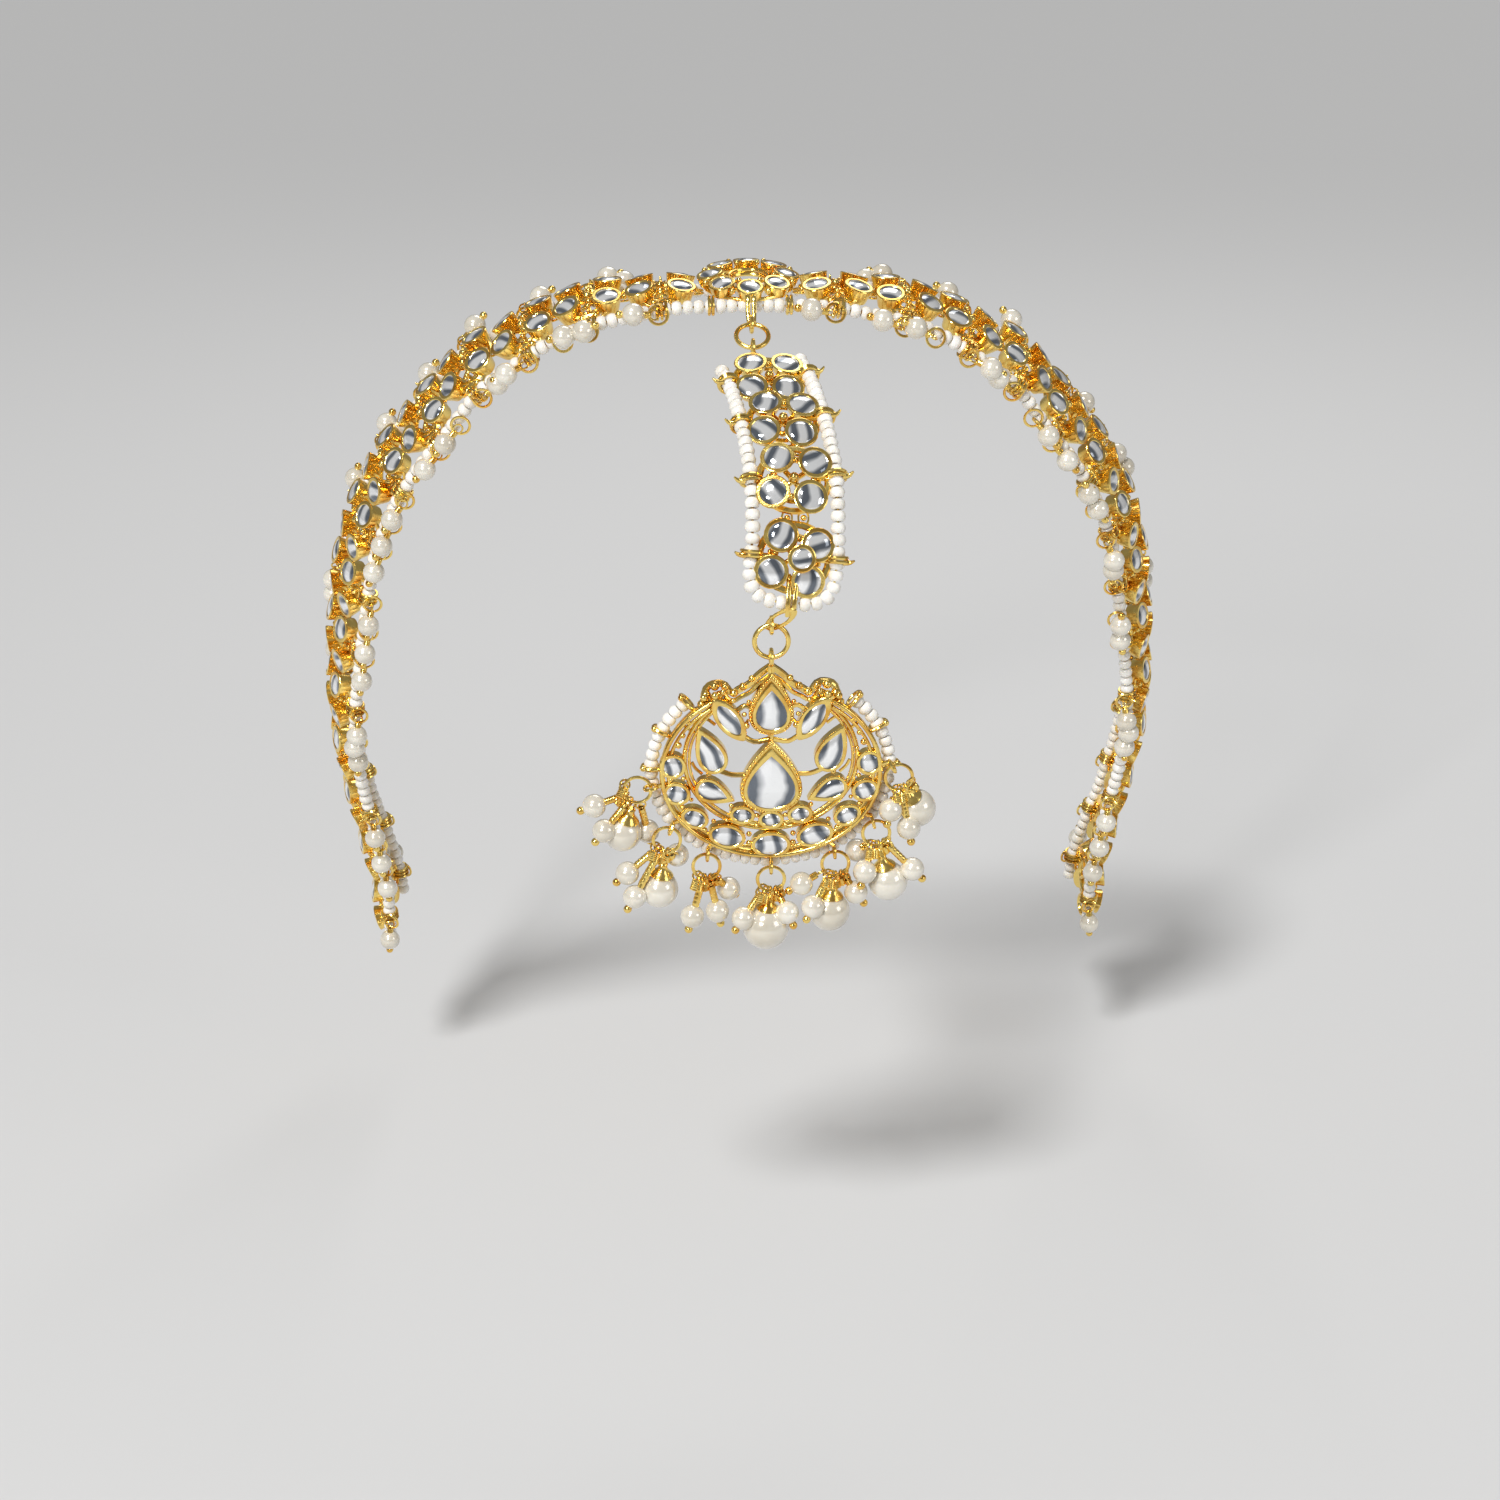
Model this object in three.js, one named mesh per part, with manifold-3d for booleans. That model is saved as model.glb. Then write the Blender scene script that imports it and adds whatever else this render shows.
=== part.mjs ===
import * as THREE from "three";
import { mergeVertices } from "three/addons/utils/BufferGeometryUtils.js";
import Module from "manifold-3d";

// Matha patti in its worn form, in millimetres and degrees, +Z up and -Y towards the face.
// The origin lies on the hair, under the middle of the crown flower.

// Clearances
const GAP = 0.3; // between pieces that touch
const LINK_GAP = 0.6; // between a ring's wire and the loop that holds it
const SINK = 0.4; // how far soldered pieces run into each other

// Facets of the round shapes
const STONE_SIDES = 8;
const STRING_SIDES = 8;
const WIRE_SIDES = 5;
const THIN_SIDES = 4;
const LOOP_SIDES = 10;
const RING_SIDES = 12;
const PEARL_SIDES = 10;
const SIDE_STRING_STEPS = 16;
const RIM_STRING_STEPS = 18;
const STRIP_LEG_STEPS = 8;
const SCROLL_STEPS = 20;

// Plan shapes of the stones
const DROP_WIDEST = 0.77; // brings a drop's widest place to its full width
const MARQUISE_POINT = 0.4; // higher is more pointed

// Side bands over the head
const ARCH_HALF_WIDTH = 96; // middle of the head to the widest place of a band's middle line
const ARCH_DROP = 173; // crown to the free ends
const ARCH_TOP = 3; // height of the bands' middle line at the crown
const BAND_LEAN = 14; // how far the bands lean back towards the neck

// Flower units of four stones, in the bands and in the centre strip
const UNIT_PITCH = 15.6;
const STRIP_PITCH = 15.6;
const SETTING_D = 6.1;
const TABLE_D = 3.8;
const ALONG_SPACING = 7.7; // two stones of a unit, along the band
const ACROSS_SPACING = 8.1; // two stones of a unit, across the band
const BAND_SETTING_H = 3.3;
const PETAL_SLOPE = 26; // outward tilt of each stone
const UNIT_NOTCH = 1.0; // how far the notch between two stones runs past their middle line
const UNIT_MIDDLE_H = 2.0; // height of a unit's middle, between its stones
const BAR_W = 1.1; // three-sided bars between the units
const BAR_H = 1.2;
const BAND_UNDER = 2.2; // band's underside below its middle line
const END_LOOP_R = 2.6;

// Seed bead strings and pearls
const SEED_D = 2.4;
const STRING_UNDER = 3.0; // string's middle below the bands' middle line
const SMALL_PEARL_D = 4.9;

// Crown flower
const CROWN_STONES = 8;
const CROWN_SETTING_D = 5.8;
const CROWN_RING_R = 7.65; // middle of the flower to the middle of a stone
const CROWN_H = 3.0; // base to the middle of a stone's rim
const CROWN_PLATE_T = 1.0;
const CROWN_OPEN_R = 4.0; // opening in the middle

// Jump rings and the loops that hold them
const RING_R = 3.35; // middle of the ring to the middle of its wire
const RING_WIRE = 1.0;
const LOOP_WIRE = 0.9;
const UPPER_RING_AT = [0, -17.4, -4.6];
const UPPER_RING_SLOPE = 33; // fall of the ring's plane towards the face

// Centre strip from the crown to the forehead
const STRIP_UNITS = 4;
const STRIP_FIRST = 9.9; // strip's top end to the middle of its first unit
const STRIP_UNDER = 1.5; // strip's underside below its middle line
const STRIP_SETTING_H = 2.6;
const STRIP_ACROSS = 7.0; // two stones of a unit, across the strip
const STONE_RIM = 0.55; // wall of a setting round its stone
const STONE_RISE = 0.45; // stone's table above its rim
const ROW_LIFT = -0.35; // strip's bead string from its middle line
const CORNER_STEP = 30; // turn between two sections of the string round the strip's corners
const MIDDLE_STONE_D = 5.0; // fifth stone of the last unit
const MIDDLE_STONE_X = 1.9;
const ROW_GAP = 0.4; // strip's stones to its bead string

// Forehead pendant
const PENDANT_AT = [1.2, -65.5, -82.2]; // middle of the crescent
const CRESCENT_A = 22.3;
const CRESCENT_B = 18.5;
const OUTER_RAIL_W = 1.3;
const HORN_ANGLE = 57; // where the crescent ends, from the horizontal
const SIDE_CHANNEL = 4.5; // outer edges of the two rails, apart at the sides
const FOOT_CHANNEL = 2.9;
const INNER_RISE = 2.75; // inner rail's middle above the crescent's
const INNER_RAIL_W = 1.0;
const INNER_HORN_ANGLE = 50;
const PLATE_T = 1.8;
const GALLERY_T = 1.4; // outer rail behind the plate
const STRING_HORN_ANGLE = 46; // where the rim string ends
const RIM_STRING_GAP = 0.5; // outer rail to the rim string, at the string's sections
const BAIL_RISE = 24.2; // crescent's middle to the lower ring's bottom wire
const BAR_WIRE = 1.4;
const GEM_H = 0.8; // front of the plate to a setting's rim

// Drops of the pendant
const EYELET_R = 1.35;
const EYELET_WIRE = 0.7;
const DROP_RING_R = 2.75;
const DROP_WIRE = 0.8;
const PIN_WIRE = 0.8;
const BIG_PEARL_D = 8.2;
const BIG_ROWS = [-44, 0, 44];
const SMALL_ROWS = [-38, 32];
const WRAP_LEAST = 1.1; // shortest wire wrap, from the pearl's middle, in its radii

// Middle line of a side band: share of the half width, share of the drop
const BAND_ROUTE = [
  [0, 0], [0.25, 0.006], [0.396, 0.023], [0.52, 0.058], [0.635, 0.101], [0.73, 0.162],
  [0.8125, 0.22], [0.875, 0.277], [0.927, 0.347], [0.958, 0.422], [0.984, 0.509], [1, 0.601],
  [0.995, 0.682], [0.969, 0.786], [0.9375, 0.896], [0.932, 1],
];

// Turn of a band's face towards the front: share of its length, degrees
const BAND_TURNS = [[0, 0], [0.05, 0], [0.14, 10], [0.35, 24], [0.55, 24], [0.8, 6], [1, -8]];

// Middle line of the centre strip, from its top end to the forehead: across, front to back, height
const STRIP_ROUTE = [
  [0.4, -21.6, -7.6], [1.6, -26.2, -9.1], [2.7, -31, -10.5], [4.6, -45.6, -15.5],
  [5.9, -58.6, -24], [5.6, -64.9, -38.2], [3.8, -65.5, -48.6],
];

// Settings of the pendant, mirrored where across isn't 0. Places are shares of the crescent's two
// half axes, sizes are shares of its half height.
const GEMS = [
  { kind: "oval", across: 0.882, up: 0.1, wide: 0.29, long: 0.29, turn: 0, sides: 8 },
  { kind: "oval", across: 0.85, up: -0.22, wide: 0.31, long: 0.27, turn: 17, sides: 8 },
  { kind: "oval", across: 0.691, up: -0.511, wide: 0.32, long: 0.25, turn: 25, sides: 8 },
  { kind: "oval", across: 0.4, up: -0.735, wide: 0.42, long: 0.29, turn: 15, sides: 8 },
  { kind: "oval", across: 0, up: -0.846, wide: 0.44, long: 0.31, turn: 0, sides: 10 },
  { kind: "drop", across: 0, up: -0.049, wide: 0.63, long: 0.85, turn: 0, sides: 14 },
  { kind: "drop", across: 0, up: 0.78, wide: 0.45, long: 0.655, turn: 0, sides: 12 },
  { kind: "marquise", across: 0.377, up: 0.626, wide: 0.27, long: 0.59, turn: -35, sides: 10 },
  { kind: "drop", across: 0.56, up: 0.28, wide: 0.33, long: 0.58, turn: -23, sides: 10 },
  { kind: "drop", across: 0.505, up: -0.22, wide: 0.28, long: 0.47, turn: 115, sides: 10 },
  { kind: "oval", across: 0.261, up: -0.485, wide: 0.285, long: 0.225, turn: 8, sides: 8 },
  { kind: "oval", across: 0, up: -0.544, wide: 0.285, long: 0.225, turn: 0, sides: 8 },
];

// Bars of the lotus through their points, as shares of the crescent's two half axes
const BARS = [
  [[0.27, 0.44], [0.15, 0.35], [0.02, 0.38]],
  [[0.46, 0.02], [0.35, -0.03], [0.23, -0.03]],
  [[0.16, 0.73], [0.23, 0.77], [0.31, 0.71]],
  [[0.56, 0.86], [0.53, 0.84], [0.49, 0.8]],
];

// Straight ties behind the stones, from one setting's middle to the next, in the same shares
const TIES = [
  [[0.377, 0.626], [0.56, 0.28]],
  [[0.56, 0.28], [0.505, -0.22]],
  [[0.505, -0.22], [0.691, -0.511]],
  [[0.261, -0.485], [0.4, -0.735]],
];

// Heights on the pendant's middle line, as shares of the crescent's half height
const STEM = [0.3, 0.55]; // from the centre stone to the top one
const BAIL_FOOT = 1.02;
const BACK_TIE = 1.14; // where the top stone is tied to the back layer

// Scroll of the back layer from horn to middle, as shares of the crescent's two half axes
const TOP_SCROLL = [
  [0.6, 0.77], [0.56, 0.96], [0.43, 0.99], [0.34, 0.88], [0.25, 0.94], [0.2, 1.0], [0.1, 1.12], [0, 1.18],
];

// Drops: place of the eyelet round the rim, direction of the ring from it, and each pearl's middle
// from the ring's as across, up and front in small pearl diameters; size is the big pearl's share.
const DROPS = [
  {
    eyelet: 187, ring: 190, size: 0.94, big: [-0.63, -2.04, -0.35],
    small: [[-1.39, -1.75, 0.1], [-1.78, -0.71, -0.1], [0.39, -2.16, -0.72]],
  },
  {
    eyelet: 214, ring: 250, size: 0.95, big: [-0.33, -2.33, -0.25],
    small: [[-1.65, -1.47, 0], [-1.37, -2.41, 0.3], [0.43, -0.96, -0.6]],
  },
  {
    eyelet: 238, ring: 265, size: 0, big: [0, 0, 0],
    small: [[-0.61, -2.22, 0.1], [0.45, -2.1, -0.1], [0.94, -1.33, -0.65]],
  },
  {
    eyelet: 270, ring: 270, size: 1.18, big: [-0.2, -2.23, -0.15],
    small: [[0.67, -1.44, 0.25], [-1.16, -1.66, 0.25]],
  },
  {
    eyelet: 302, ring: 275, size: 1.03, big: [-0.2, -2.27, -0.25],
    small: [[-0.94, -1.78, 0.35], [-1.41, -0.88, 0], [0.88, -1.33, 0]],
  },
  {
    eyelet: 328, ring: 285, size: 1, big: [0.55, -2.29, -0.25],
    small: [[-0.47, -1.61, 0.3], [1.55, -1.67, 0], [-0.72, -1.06, -0.67]],
  },
  {
    eyelet: 3, ring: 300, size: 0.95, big: [0.84, -1.6, -0.5],
    small: [[-0.33, -1.4, 0.16], [0.43, -2.2, 0.2]],
  },
];

const wasm = await Module();
wasm.setup();

const radians = THREE.MathUtils.degToRad;
const gold = { color: 0xd9992b, metalness: 0.9, roughness: 0.3 };
const pearl = { color: 0xf3ead8, metalness: 0.0, roughness: 0.35 };
const seedWhite = { color: 0xfaf6ec, metalness: 0.0, roughness: 0.45 };

// A geometry as a boolean solid
function solid(geometry) {
  const bare = geometry.clone();
  bare.deleteAttribute("normal");
  bare.deleteAttribute("uv");
  const merged = mergeVertices(bare, 1e-4);
  const corners = [];
  const index = merged.index.array;
  for (let i = 0; i < index.length; i += 3) {
    const [a, b, c] = index.slice(i, i + 3);
    if (a !== b && b !== c && c !== a) corners.push(a, b, c);
  }
  return new wasm.Manifold(
    new wasm.Mesh({
      numProp: 3,
      vertProperties: merged.attributes.position.array,
      triVerts: new Uint32Array(corners),
    }),
  );
}

// Several geometries joined into one
function fused(geometries) {
  const whole = geometries.map(solid).reduce((joined, next) => joined.add(next));
  const mesh = whole.getMesh();
  return new THREE.BufferGeometry()
    .setAttribute("position", new THREE.BufferAttribute(mesh.vertProperties, 3))
    .setIndex(new THREE.BufferAttribute(mesh.triVerts, 1));
}

// Closed skin over rings of equal count, anticlockwise seen from the last ring
function loft(rings) {
  const count = rings[0].length;
  const index = [];
  for (let k = 0; k + 1 < rings.length; k++) {
    for (let i = 0; i < count; i++) {
      const j = (i + 1) % count;
      const low = k * count;
      const high = low + count;
      index.push(low + i, low + j, high + j, low + i, high + j, high + i);
    }
  }
  const last = (rings.length - 1) * count;
  for (let i = 1; i + 1 < count; i++) index.push(0, i + 1, i, last, last + i, last + i + 1);
  return new THREE.BufferGeometry().setFromPoints(rings.flat()).setIndex(index);
}

// Outline points of an oval, a drop with its tip up, or a marquise
function outline(kind, wide, long, sides) {
  return Array.from({ length: sides }, (_, i) => {
    const t = (2 * Math.PI * i) / sides + (kind === "oval" ? Math.PI / sides : 0);
    const widths = {
      oval: Math.sin(t),
      drop: (Math.sin(t) * Math.abs(Math.sin(t / 2))) / DROP_WIDEST,
      marquise: Math.sin(t) * Math.abs(Math.sin(t)) ** MARQUISE_POINT,
    };
    return new THREE.Vector2((-wide / 2) * widths[kind], (long / 2) * Math.cos(t));
  });
}

// A setting with its stone: base ring, rim, and the stone's facets up to its table
function setting(shape, levels, slope = [0, 0]) {
  return loft(
    levels.map(({ wide, long, height, tilted }) =>
      outline(shape.kind, wide, long, shape.sides).map((p) => {
        const rise = tilted ? p.x * slope[0] + p.y * slope[1] : 0;
        return new THREE.Vector3(p.x, p.y, height + rise);
      }),
    ),
  );
}

// Levels of a round setting: its base, its rim and the stone's table
function roundLevels(diameter, height) {
  const table = diameter * (TABLE_D / SETTING_D);
  return [
    { wide: diameter, long: diameter, height: 0 },
    { wide: diameter, long: diameter, height, tilted: true },
    { wide: table, long: table, height: height + STONE_RISE, tilted: true },
  ];
}

// Round wire or string along a curve
function tube(curve, diameter, sides, steps) {
  const section = new THREE.Shape(
    Array.from({ length: sides }, (_, i) => {
      const t = (2 * Math.PI * i) / sides;
      return new THREE.Vector2((diameter / 2) * Math.cos(t), (diameter / 2) * Math.sin(t));
    }),
  );
  return new THREE.ExtrudeGeometry(section, { steps, extrudePath: curve, bevelEnabled: false });
}

function curveThrough(points) {
  return new THREE.CatmullRomCurve3(points, false, "centripetal");
}

// A place on a side band: middle line, direction along it, across it to the back, and outwards
const bandLine = curveThrough(
  BAND_ROUTE.map(([across, drop]) => {
    const fall = drop * ARCH_DROP;
    return new THREE.Vector3(
      across * ARCH_HALF_WIDTH,
      fall * Math.tan(radians(BAND_LEAN)),
      ARCH_TOP - fall,
    );
  }),
);
const bandLength = bandLine.getLength();

// Angle by which a band's face has turned to the front at a share of its length
function faceTurn(share) {
  const next = Math.max(BAND_TURNS.findIndex(([place]) => place >= share), 1);
  const [[from, low], [to, high]] = [BAND_TURNS[next - 1], BAND_TURNS[next]];
  return radians(low + (high - low) * THREE.MathUtils.smoothstep(share, from, to));
}

function bandFrame(distance) {
  const share = THREE.MathUtils.clamp(distance / bandLength, 0, 1);
  const along = bandLine.getTangentAt(share);
  const back = new THREE.Vector3(0, 1, 0);
  back.addScaledVector(along, -back.dot(along)).normalize();
  back.applyAxisAngle(along, faceTurn(share));
  const out = new THREE.Vector3().crossVectors(along, back);
  return new THREE.Matrix4().makeBasis(along, back, out).setPosition(bandLine.getPointAt(share));
}

function bandPoint(distance, across, out) {
  return new THREE.Vector3(0, across, out).applyMatrix4(bandFrame(distance));
}

const crownRadius = CROWN_RING_R + CROWN_SETTING_D / 2;
const unitHalf = (ALONG_SPACING + SETTING_D) / 2;
const spineStart = crownRadius + GAP;
const firstUnit = spineStart + (UNIT_PITCH - 2 * unitHalf) / 2 + unitHalf;
const unitCount = Math.floor((bandLength - firstUnit - unitHalf) / UNIT_PITCH) + 1;
const unitPlaces = Array.from({ length: unitCount }, (_, i) => firstUnit + i * UNIT_PITCH);
const spineEnd = unitPlaces[unitCount - 1] + unitHalf;
const stringAcross = ACROSS_SPACING / 2 + SETTING_D / 2 + GAP + SEED_D / 2;

// A unit's four stones as one skin in its own plane, each stone tilted away from the middle, open
// at the sections where the bars of the chain arrive and leave (near edge, far edge, top).
// levels start with the base ring; the others are the rings above it, up to the tables.
function unitSkin(across, along, levels) {
  const slope = Math.tan(radians(PETAL_SLOPE)) / Math.SQRT2;
  const [base, ...tops] = levels;
  const points = [];
  const index = [];
  const put = (x, y, z) => points.push(new THREE.Vector3(x, y, z)) - 1;
  const middle = put(0, 0, UNIT_MIDDLE_H);
  const reachY = across / 2 - UNIT_NOTCH;
  const reachX = along / 2 - UNIT_NOTCH;
  const section = (x, y) => [put(x, y, 0), put(x, 0, BAR_H), put(x, -y, 0)];
  const notches = [
    [put(0, reachY, 0)],
    section(-reachX, BAR_W / 2),
    [put(0, -reachY, 0)],
    section(reachX, -BAR_W / 2),
  ];
  const contour = [];
  for (let q = 0; q < 4; q++) {
    const side = [q === 0 || q === 3 ? 1 : -1, q < 2 ? 1 : -1];
    const ring = ({ wide, height, tilted }, count) =>
      Array.from({ length: count }, (_, i) => {
        const turn = radians(292.5 + 45 * i + 90 * q);
        const [x, y] = [(wide / 2) * Math.cos(turn), (wide / 2) * Math.sin(turn)];
        const rise = tilted ? -slope * (side[0] * x + side[1] * y) : 0;
        return put((side[0] * along) / 2 + x, (side[1] * across) / 2 + y, height + rise);
      });
    const foot = ring(base, 6);
    const rings = tops.map((level) => ring(level, 8));
    const after = notches[q].slice(0, 2);
    const before = notches[(q + 3) % 4].slice(-2);
    const lower = [...foot, ...after, middle, ...before, foot[0]];
    const upper = [...rings[0], rings[0][0]];
    const over = [0, 1, 2, 3, 4, 5, ...[5, 6].slice(-after.length), 7, ...before.map(() => 8), 8];
    for (let i = 0; i + 1 < lower.length; i++) {
      const [t, next] = [over[i], over[i + 1]];
      index.push(lower[i], lower[i + 1], upper[next]);
      if (next > t) index.push(lower[i], upper[next], upper[t]);
    }
    for (let k = 0; k + 1 < rings.length; k++) {
      for (let i = 0; i < STONE_SIDES; i++) {
        const j = (i + 1) % STONE_SIDES;
        const [low, high] = [rings[k], rings[k + 1]];
        index.push(low[i], low[j], high[j], low[i], high[j], high[i]);
      }
    }
    const table = rings[rings.length - 1];
    for (let i = 1; i + 1 < STONE_SIDES; i++) index.push(table[0], table[i], table[i + 1]);
    contour.push(...foot, ...notches[q].filter((_, i) => i !== 1));
  }
  const flat = contour.map((k) => new THREE.Vector2(points[k].x, points[k].y));
  for (const [i, j, k] of THREE.ShapeUtils.triangulateShape(flat, [])) {
    index.push(contour[i], contour[k], contour[j]);
  }
  const [, arrive, , leave] = notches;
  return {
    points,
    index,
    arrive: [arrive[2], arrive[0], arrive[1]],
    leave: [leave[0], leave[2], leave[1]],
  };
}

// Units at their places on a band or strip, joined by bars that run out to its two ends
function unitChain(frameAt, places, ends, across, levels) {
  const unit = unitSkin(across, ALONG_SPACING, levels);
  const points = [];
  const index = [];
  const add = (local, frame) => {
    const first = points.length;
    points.push(...local.map((point) => point.clone().applyMatrix4(frame)));
    return first;
  };
  const endSection = (place) => {
    const corners = [[-BAR_W / 2, 0], [BAR_W / 2, 0], [0, BAR_H]];
    const first = add(corners.map(([y, z]) => new THREE.Vector3(0, y, z)), frameAt(place));
    return [first, first + 1, first + 2];
  };
  const join = (low, high) => {
    for (let i = 0; i < 3; i++) {
      const j = (i + 1) % 3;
      index.push(low[i], low[j], high[j], low[i], high[j], high[i]);
    }
  };
  let open = endSection(ends[0]);
  index.push(open[0], open[2], open[1]);
  for (const place of places) {
    const first = add(unit.points, frameAt(place));
    index.push(...unit.index.map((k) => first + k));
    join(open, unit.arrive.map((k) => first + k));
    open = unit.leave.map((k) => first + k);
  }
  const last = endSection(ends[1]);
  join(open, last);
  index.push(...last);
  return new THREE.BufferGeometry().setFromPoints(points).setIndex(index);
}

function sideBand() {
  const under = new THREE.Matrix4().makeTranslation(0, 0, -BAND_UNDER);
  const levels = [
    { wide: SETTING_D, long: SETTING_D, height: 0 },
    { wide: TABLE_D, long: TABLE_D, height: BAND_SETTING_H, tilted: true },
  ];
  const frameAt = (place) => bandFrame(place).multiply(under);
  const ends = [spineStart, spineEnd];
  const loop = ringGeometry(END_LOOP_R, RING_WIRE, LOOP_SIDES);
  const past = spineEnd + END_LOOP_R - SINK / 2 - bandLength;
  loop.translate(past, 0, BAR_H / 2).applyMatrix4(frameAt(bandLength));
  return fused([loop, unitChain(frameAt, unitPlaces, ends, ACROSS_SPACING, levels)]);
}

// Seed bead string with one section at each point of its route
function beadString(points) {
  const line = curveThrough(points);
  line.getUtoTmapping = (share) => share;
  return tube(line, SEED_D, STRING_SIDES, points.length - 1);
}

function sideString(side) {
  const points = Array.from({ length: SIDE_STRING_STEPS + 1 }, (_, i) =>
    bandPoint((spineEnd * i) / SIDE_STRING_STEPS, side * stringAcross, -STRING_UNDER),
  );
  points[0].x = GAP / 2;
  return beadString(points);
}

function ringGeometry(radius, wire, sides) {
  return new THREE.TorusGeometry(radius, wire / 2, WIRE_SIDES, sides);
}

// Loop round a ring's wire, in the upright plane from front to back, and the neck that carries it
const loopRadius = RING_WIRE / 2 + LINK_GAP + LOOP_WIRE / 2;

function loopOn(hold, neck) {
  const loop = ringGeometry(loopRadius, LOOP_WIRE, LOOP_SIDES).rotateY(Math.PI / 2);
  loop.translate(hold.x, hold.y, hold.z);
  const arrive = new THREE.Vector3().subVectors(neck[neck.length - 1], hold).setX(0);
  const seat = hold.clone().addScaledVector(arrive.normalize(), loopRadius);
  return [loop, tube(curveThrough([...neck, seat]), LOOP_WIRE, WIRE_SIDES, 2 * neck.length)];
}

const upperRingAt = new THREE.Vector3(...UPPER_RING_AT);
const upperRingFall = new THREE.Vector3(
  0,
  -Math.cos(radians(UPPER_RING_SLOPE)),
  -Math.sin(radians(UPPER_RING_SLOPE)),
);
const crownBase = ARCH_TOP - STRING_UNDER + SEED_D / 2 + GAP;

function crownFlower() {
  const levels = roundLevels(CROWN_SETTING_D, CROWN_H);
  const slope = Math.tan(radians(PETAL_SLOPE));
  const pieces = [];
  for (let i = 0; i < CROWN_STONES; i++) {
    const stone = setting({ kind: "oval", sides: STONE_SIDES }, levels, [-slope, 0]);
    stone.translate(CROWN_RING_R, 0, crownBase);
    stone.rotateZ((2 * Math.PI * i) / CROWN_STONES);
    pieces.push(stone);
  }
  const plate = new THREE.Shape();
  plate.absarc(0, 0, CROWN_RING_R - CROWN_SETTING_D / 4, 0, 2 * Math.PI);
  const opening = new THREE.Path();
  opening.absarc(0, 0, CROWN_OPEN_R, 0, 2 * Math.PI, true);
  plate.holes.push(opening);
  const disc = new THREE.ExtrudeGeometry(plate, {
    depth: CROWN_PLATE_T,
    bevelEnabled: false,
    curveSegments: CROWN_STONES,
  });
  pieces.push(disc.translate(0, 0, crownBase));
  const hold = upperRingAt.clone().addScaledVector(upperRingFall, -RING_R);
  const neck = [
    new THREE.Vector3(0, CROWN_SETTING_D / 3 - crownRadius, crownBase + CROWN_H / 3),
    new THREE.Vector3(0, -RING_WIRE - crownRadius, crownBase + CROWN_H / 4),
  ];
  pieces.push(...loopOn(hold, neck));
  return fused(pieces);
}

// A place on the centre strip: x along it to the forehead, y across it, z outwards
const stripLine = curveThrough(STRIP_ROUTE.map((p) => new THREE.Vector3(...p)));
const stripLength = stripLine.getLength();
const stripPlaces = Array.from({ length: STRIP_UNITS }, (_, i) => STRIP_FIRST + i * STRIP_PITCH);
const lastUnit = stripPlaces[STRIP_UNITS - 1];
const cornerR = (SETTING_D / 2 + ROW_GAP + SEED_D / 2) / Math.cos(radians(CORNER_STEP / 2));
const stripStringX = STRIP_ACROSS / 2 + cornerR;
const bottomRow = lastUnit + ALONG_SPACING / 2 + cornerR;

function stripFrame(distance) {
  const share = THREE.MathUtils.clamp(distance / stripLength, 0, 1);
  const along = stripLine.getTangentAt(share);
  const across = new THREE.Vector3(1, 0, 0);
  across.addScaledVector(along, -across.dot(along)).normalize();
  const out = new THREE.Vector3().crossVectors(along, across);
  return new THREE.Matrix4().makeBasis(along, across, out).setPosition(stripLine.getPointAt(share));
}

function stripPoint(distance, across, out) {
  return new THREE.Vector3(0, across, out).applyMatrix4(stripFrame(distance));
}

// The same, with everything from the last unit on in that unit's own flat frame
function rowPoint(distance, across, out) {
  const past = Math.max(distance - lastUnit, 0);
  const frame = stripFrame(Math.min(distance, lastUnit));
  return new THREE.Vector3(past, across, out).applyMatrix4(frame);
}

const lowerRingAt = new THREE.Vector3(...PENDANT_AT);
lowerRingAt.z += BAIL_RISE + RING_R;

function centreStrip() {
  const under = new THREE.Matrix4().makeTranslation(0, 0, -STRIP_UNDER);
  const levels = roundLevels(SETTING_D, STRIP_SETTING_H);
  const frameAt = (place) => stripFrame(place).multiply(under);
  const ends = [0, lastUnit + ALONG_SPACING / 2];
  const pieces = [unitChain(frameAt, stripPlaces, ends, STRIP_ACROSS, levels)];
  const raised = roundLevels(MIDDLE_STONE_D, STRIP_SETTING_H + STONE_RISE);
  const middle = setting({ kind: "oval", sides: STONE_SIDES }, raised);
  middle.translate(0, MIDDLE_STONE_X, 0).applyMatrix4(stripFrame(lastUnit));
  pieces.push(middle);

  const topHold = upperRingAt.clone().addScaledVector(upperRingFall, RING_R);
  const topOut = BAR_H / 2 - STRIP_UNDER;
  const topNeck = [stripPoint(LOOP_WIRE * 2, 0, topOut), stripPoint(LOOP_WIRE, 0, topOut)];
  pieces.push(...loopOn(topHold, topNeck));

  const endHold = lowerRingAt.clone().setZ(lowerRingAt.z + RING_R);
  const overRow = ROW_LIFT + SEED_D / 2 + GAP + LOOP_WIRE / 2;
  const endNeck = [
    stripPoint(ends[1] - LOOP_WIRE, 0, topOut),
    rowPoint(bottomRow - SEED_D / 2, 0, overRow),
    rowPoint(bottomRow + SEED_D / 2, 0, overRow),
  ];
  pieces.push(...loopOn(endHold, endNeck));
  return fused(pieces);
}

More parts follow.
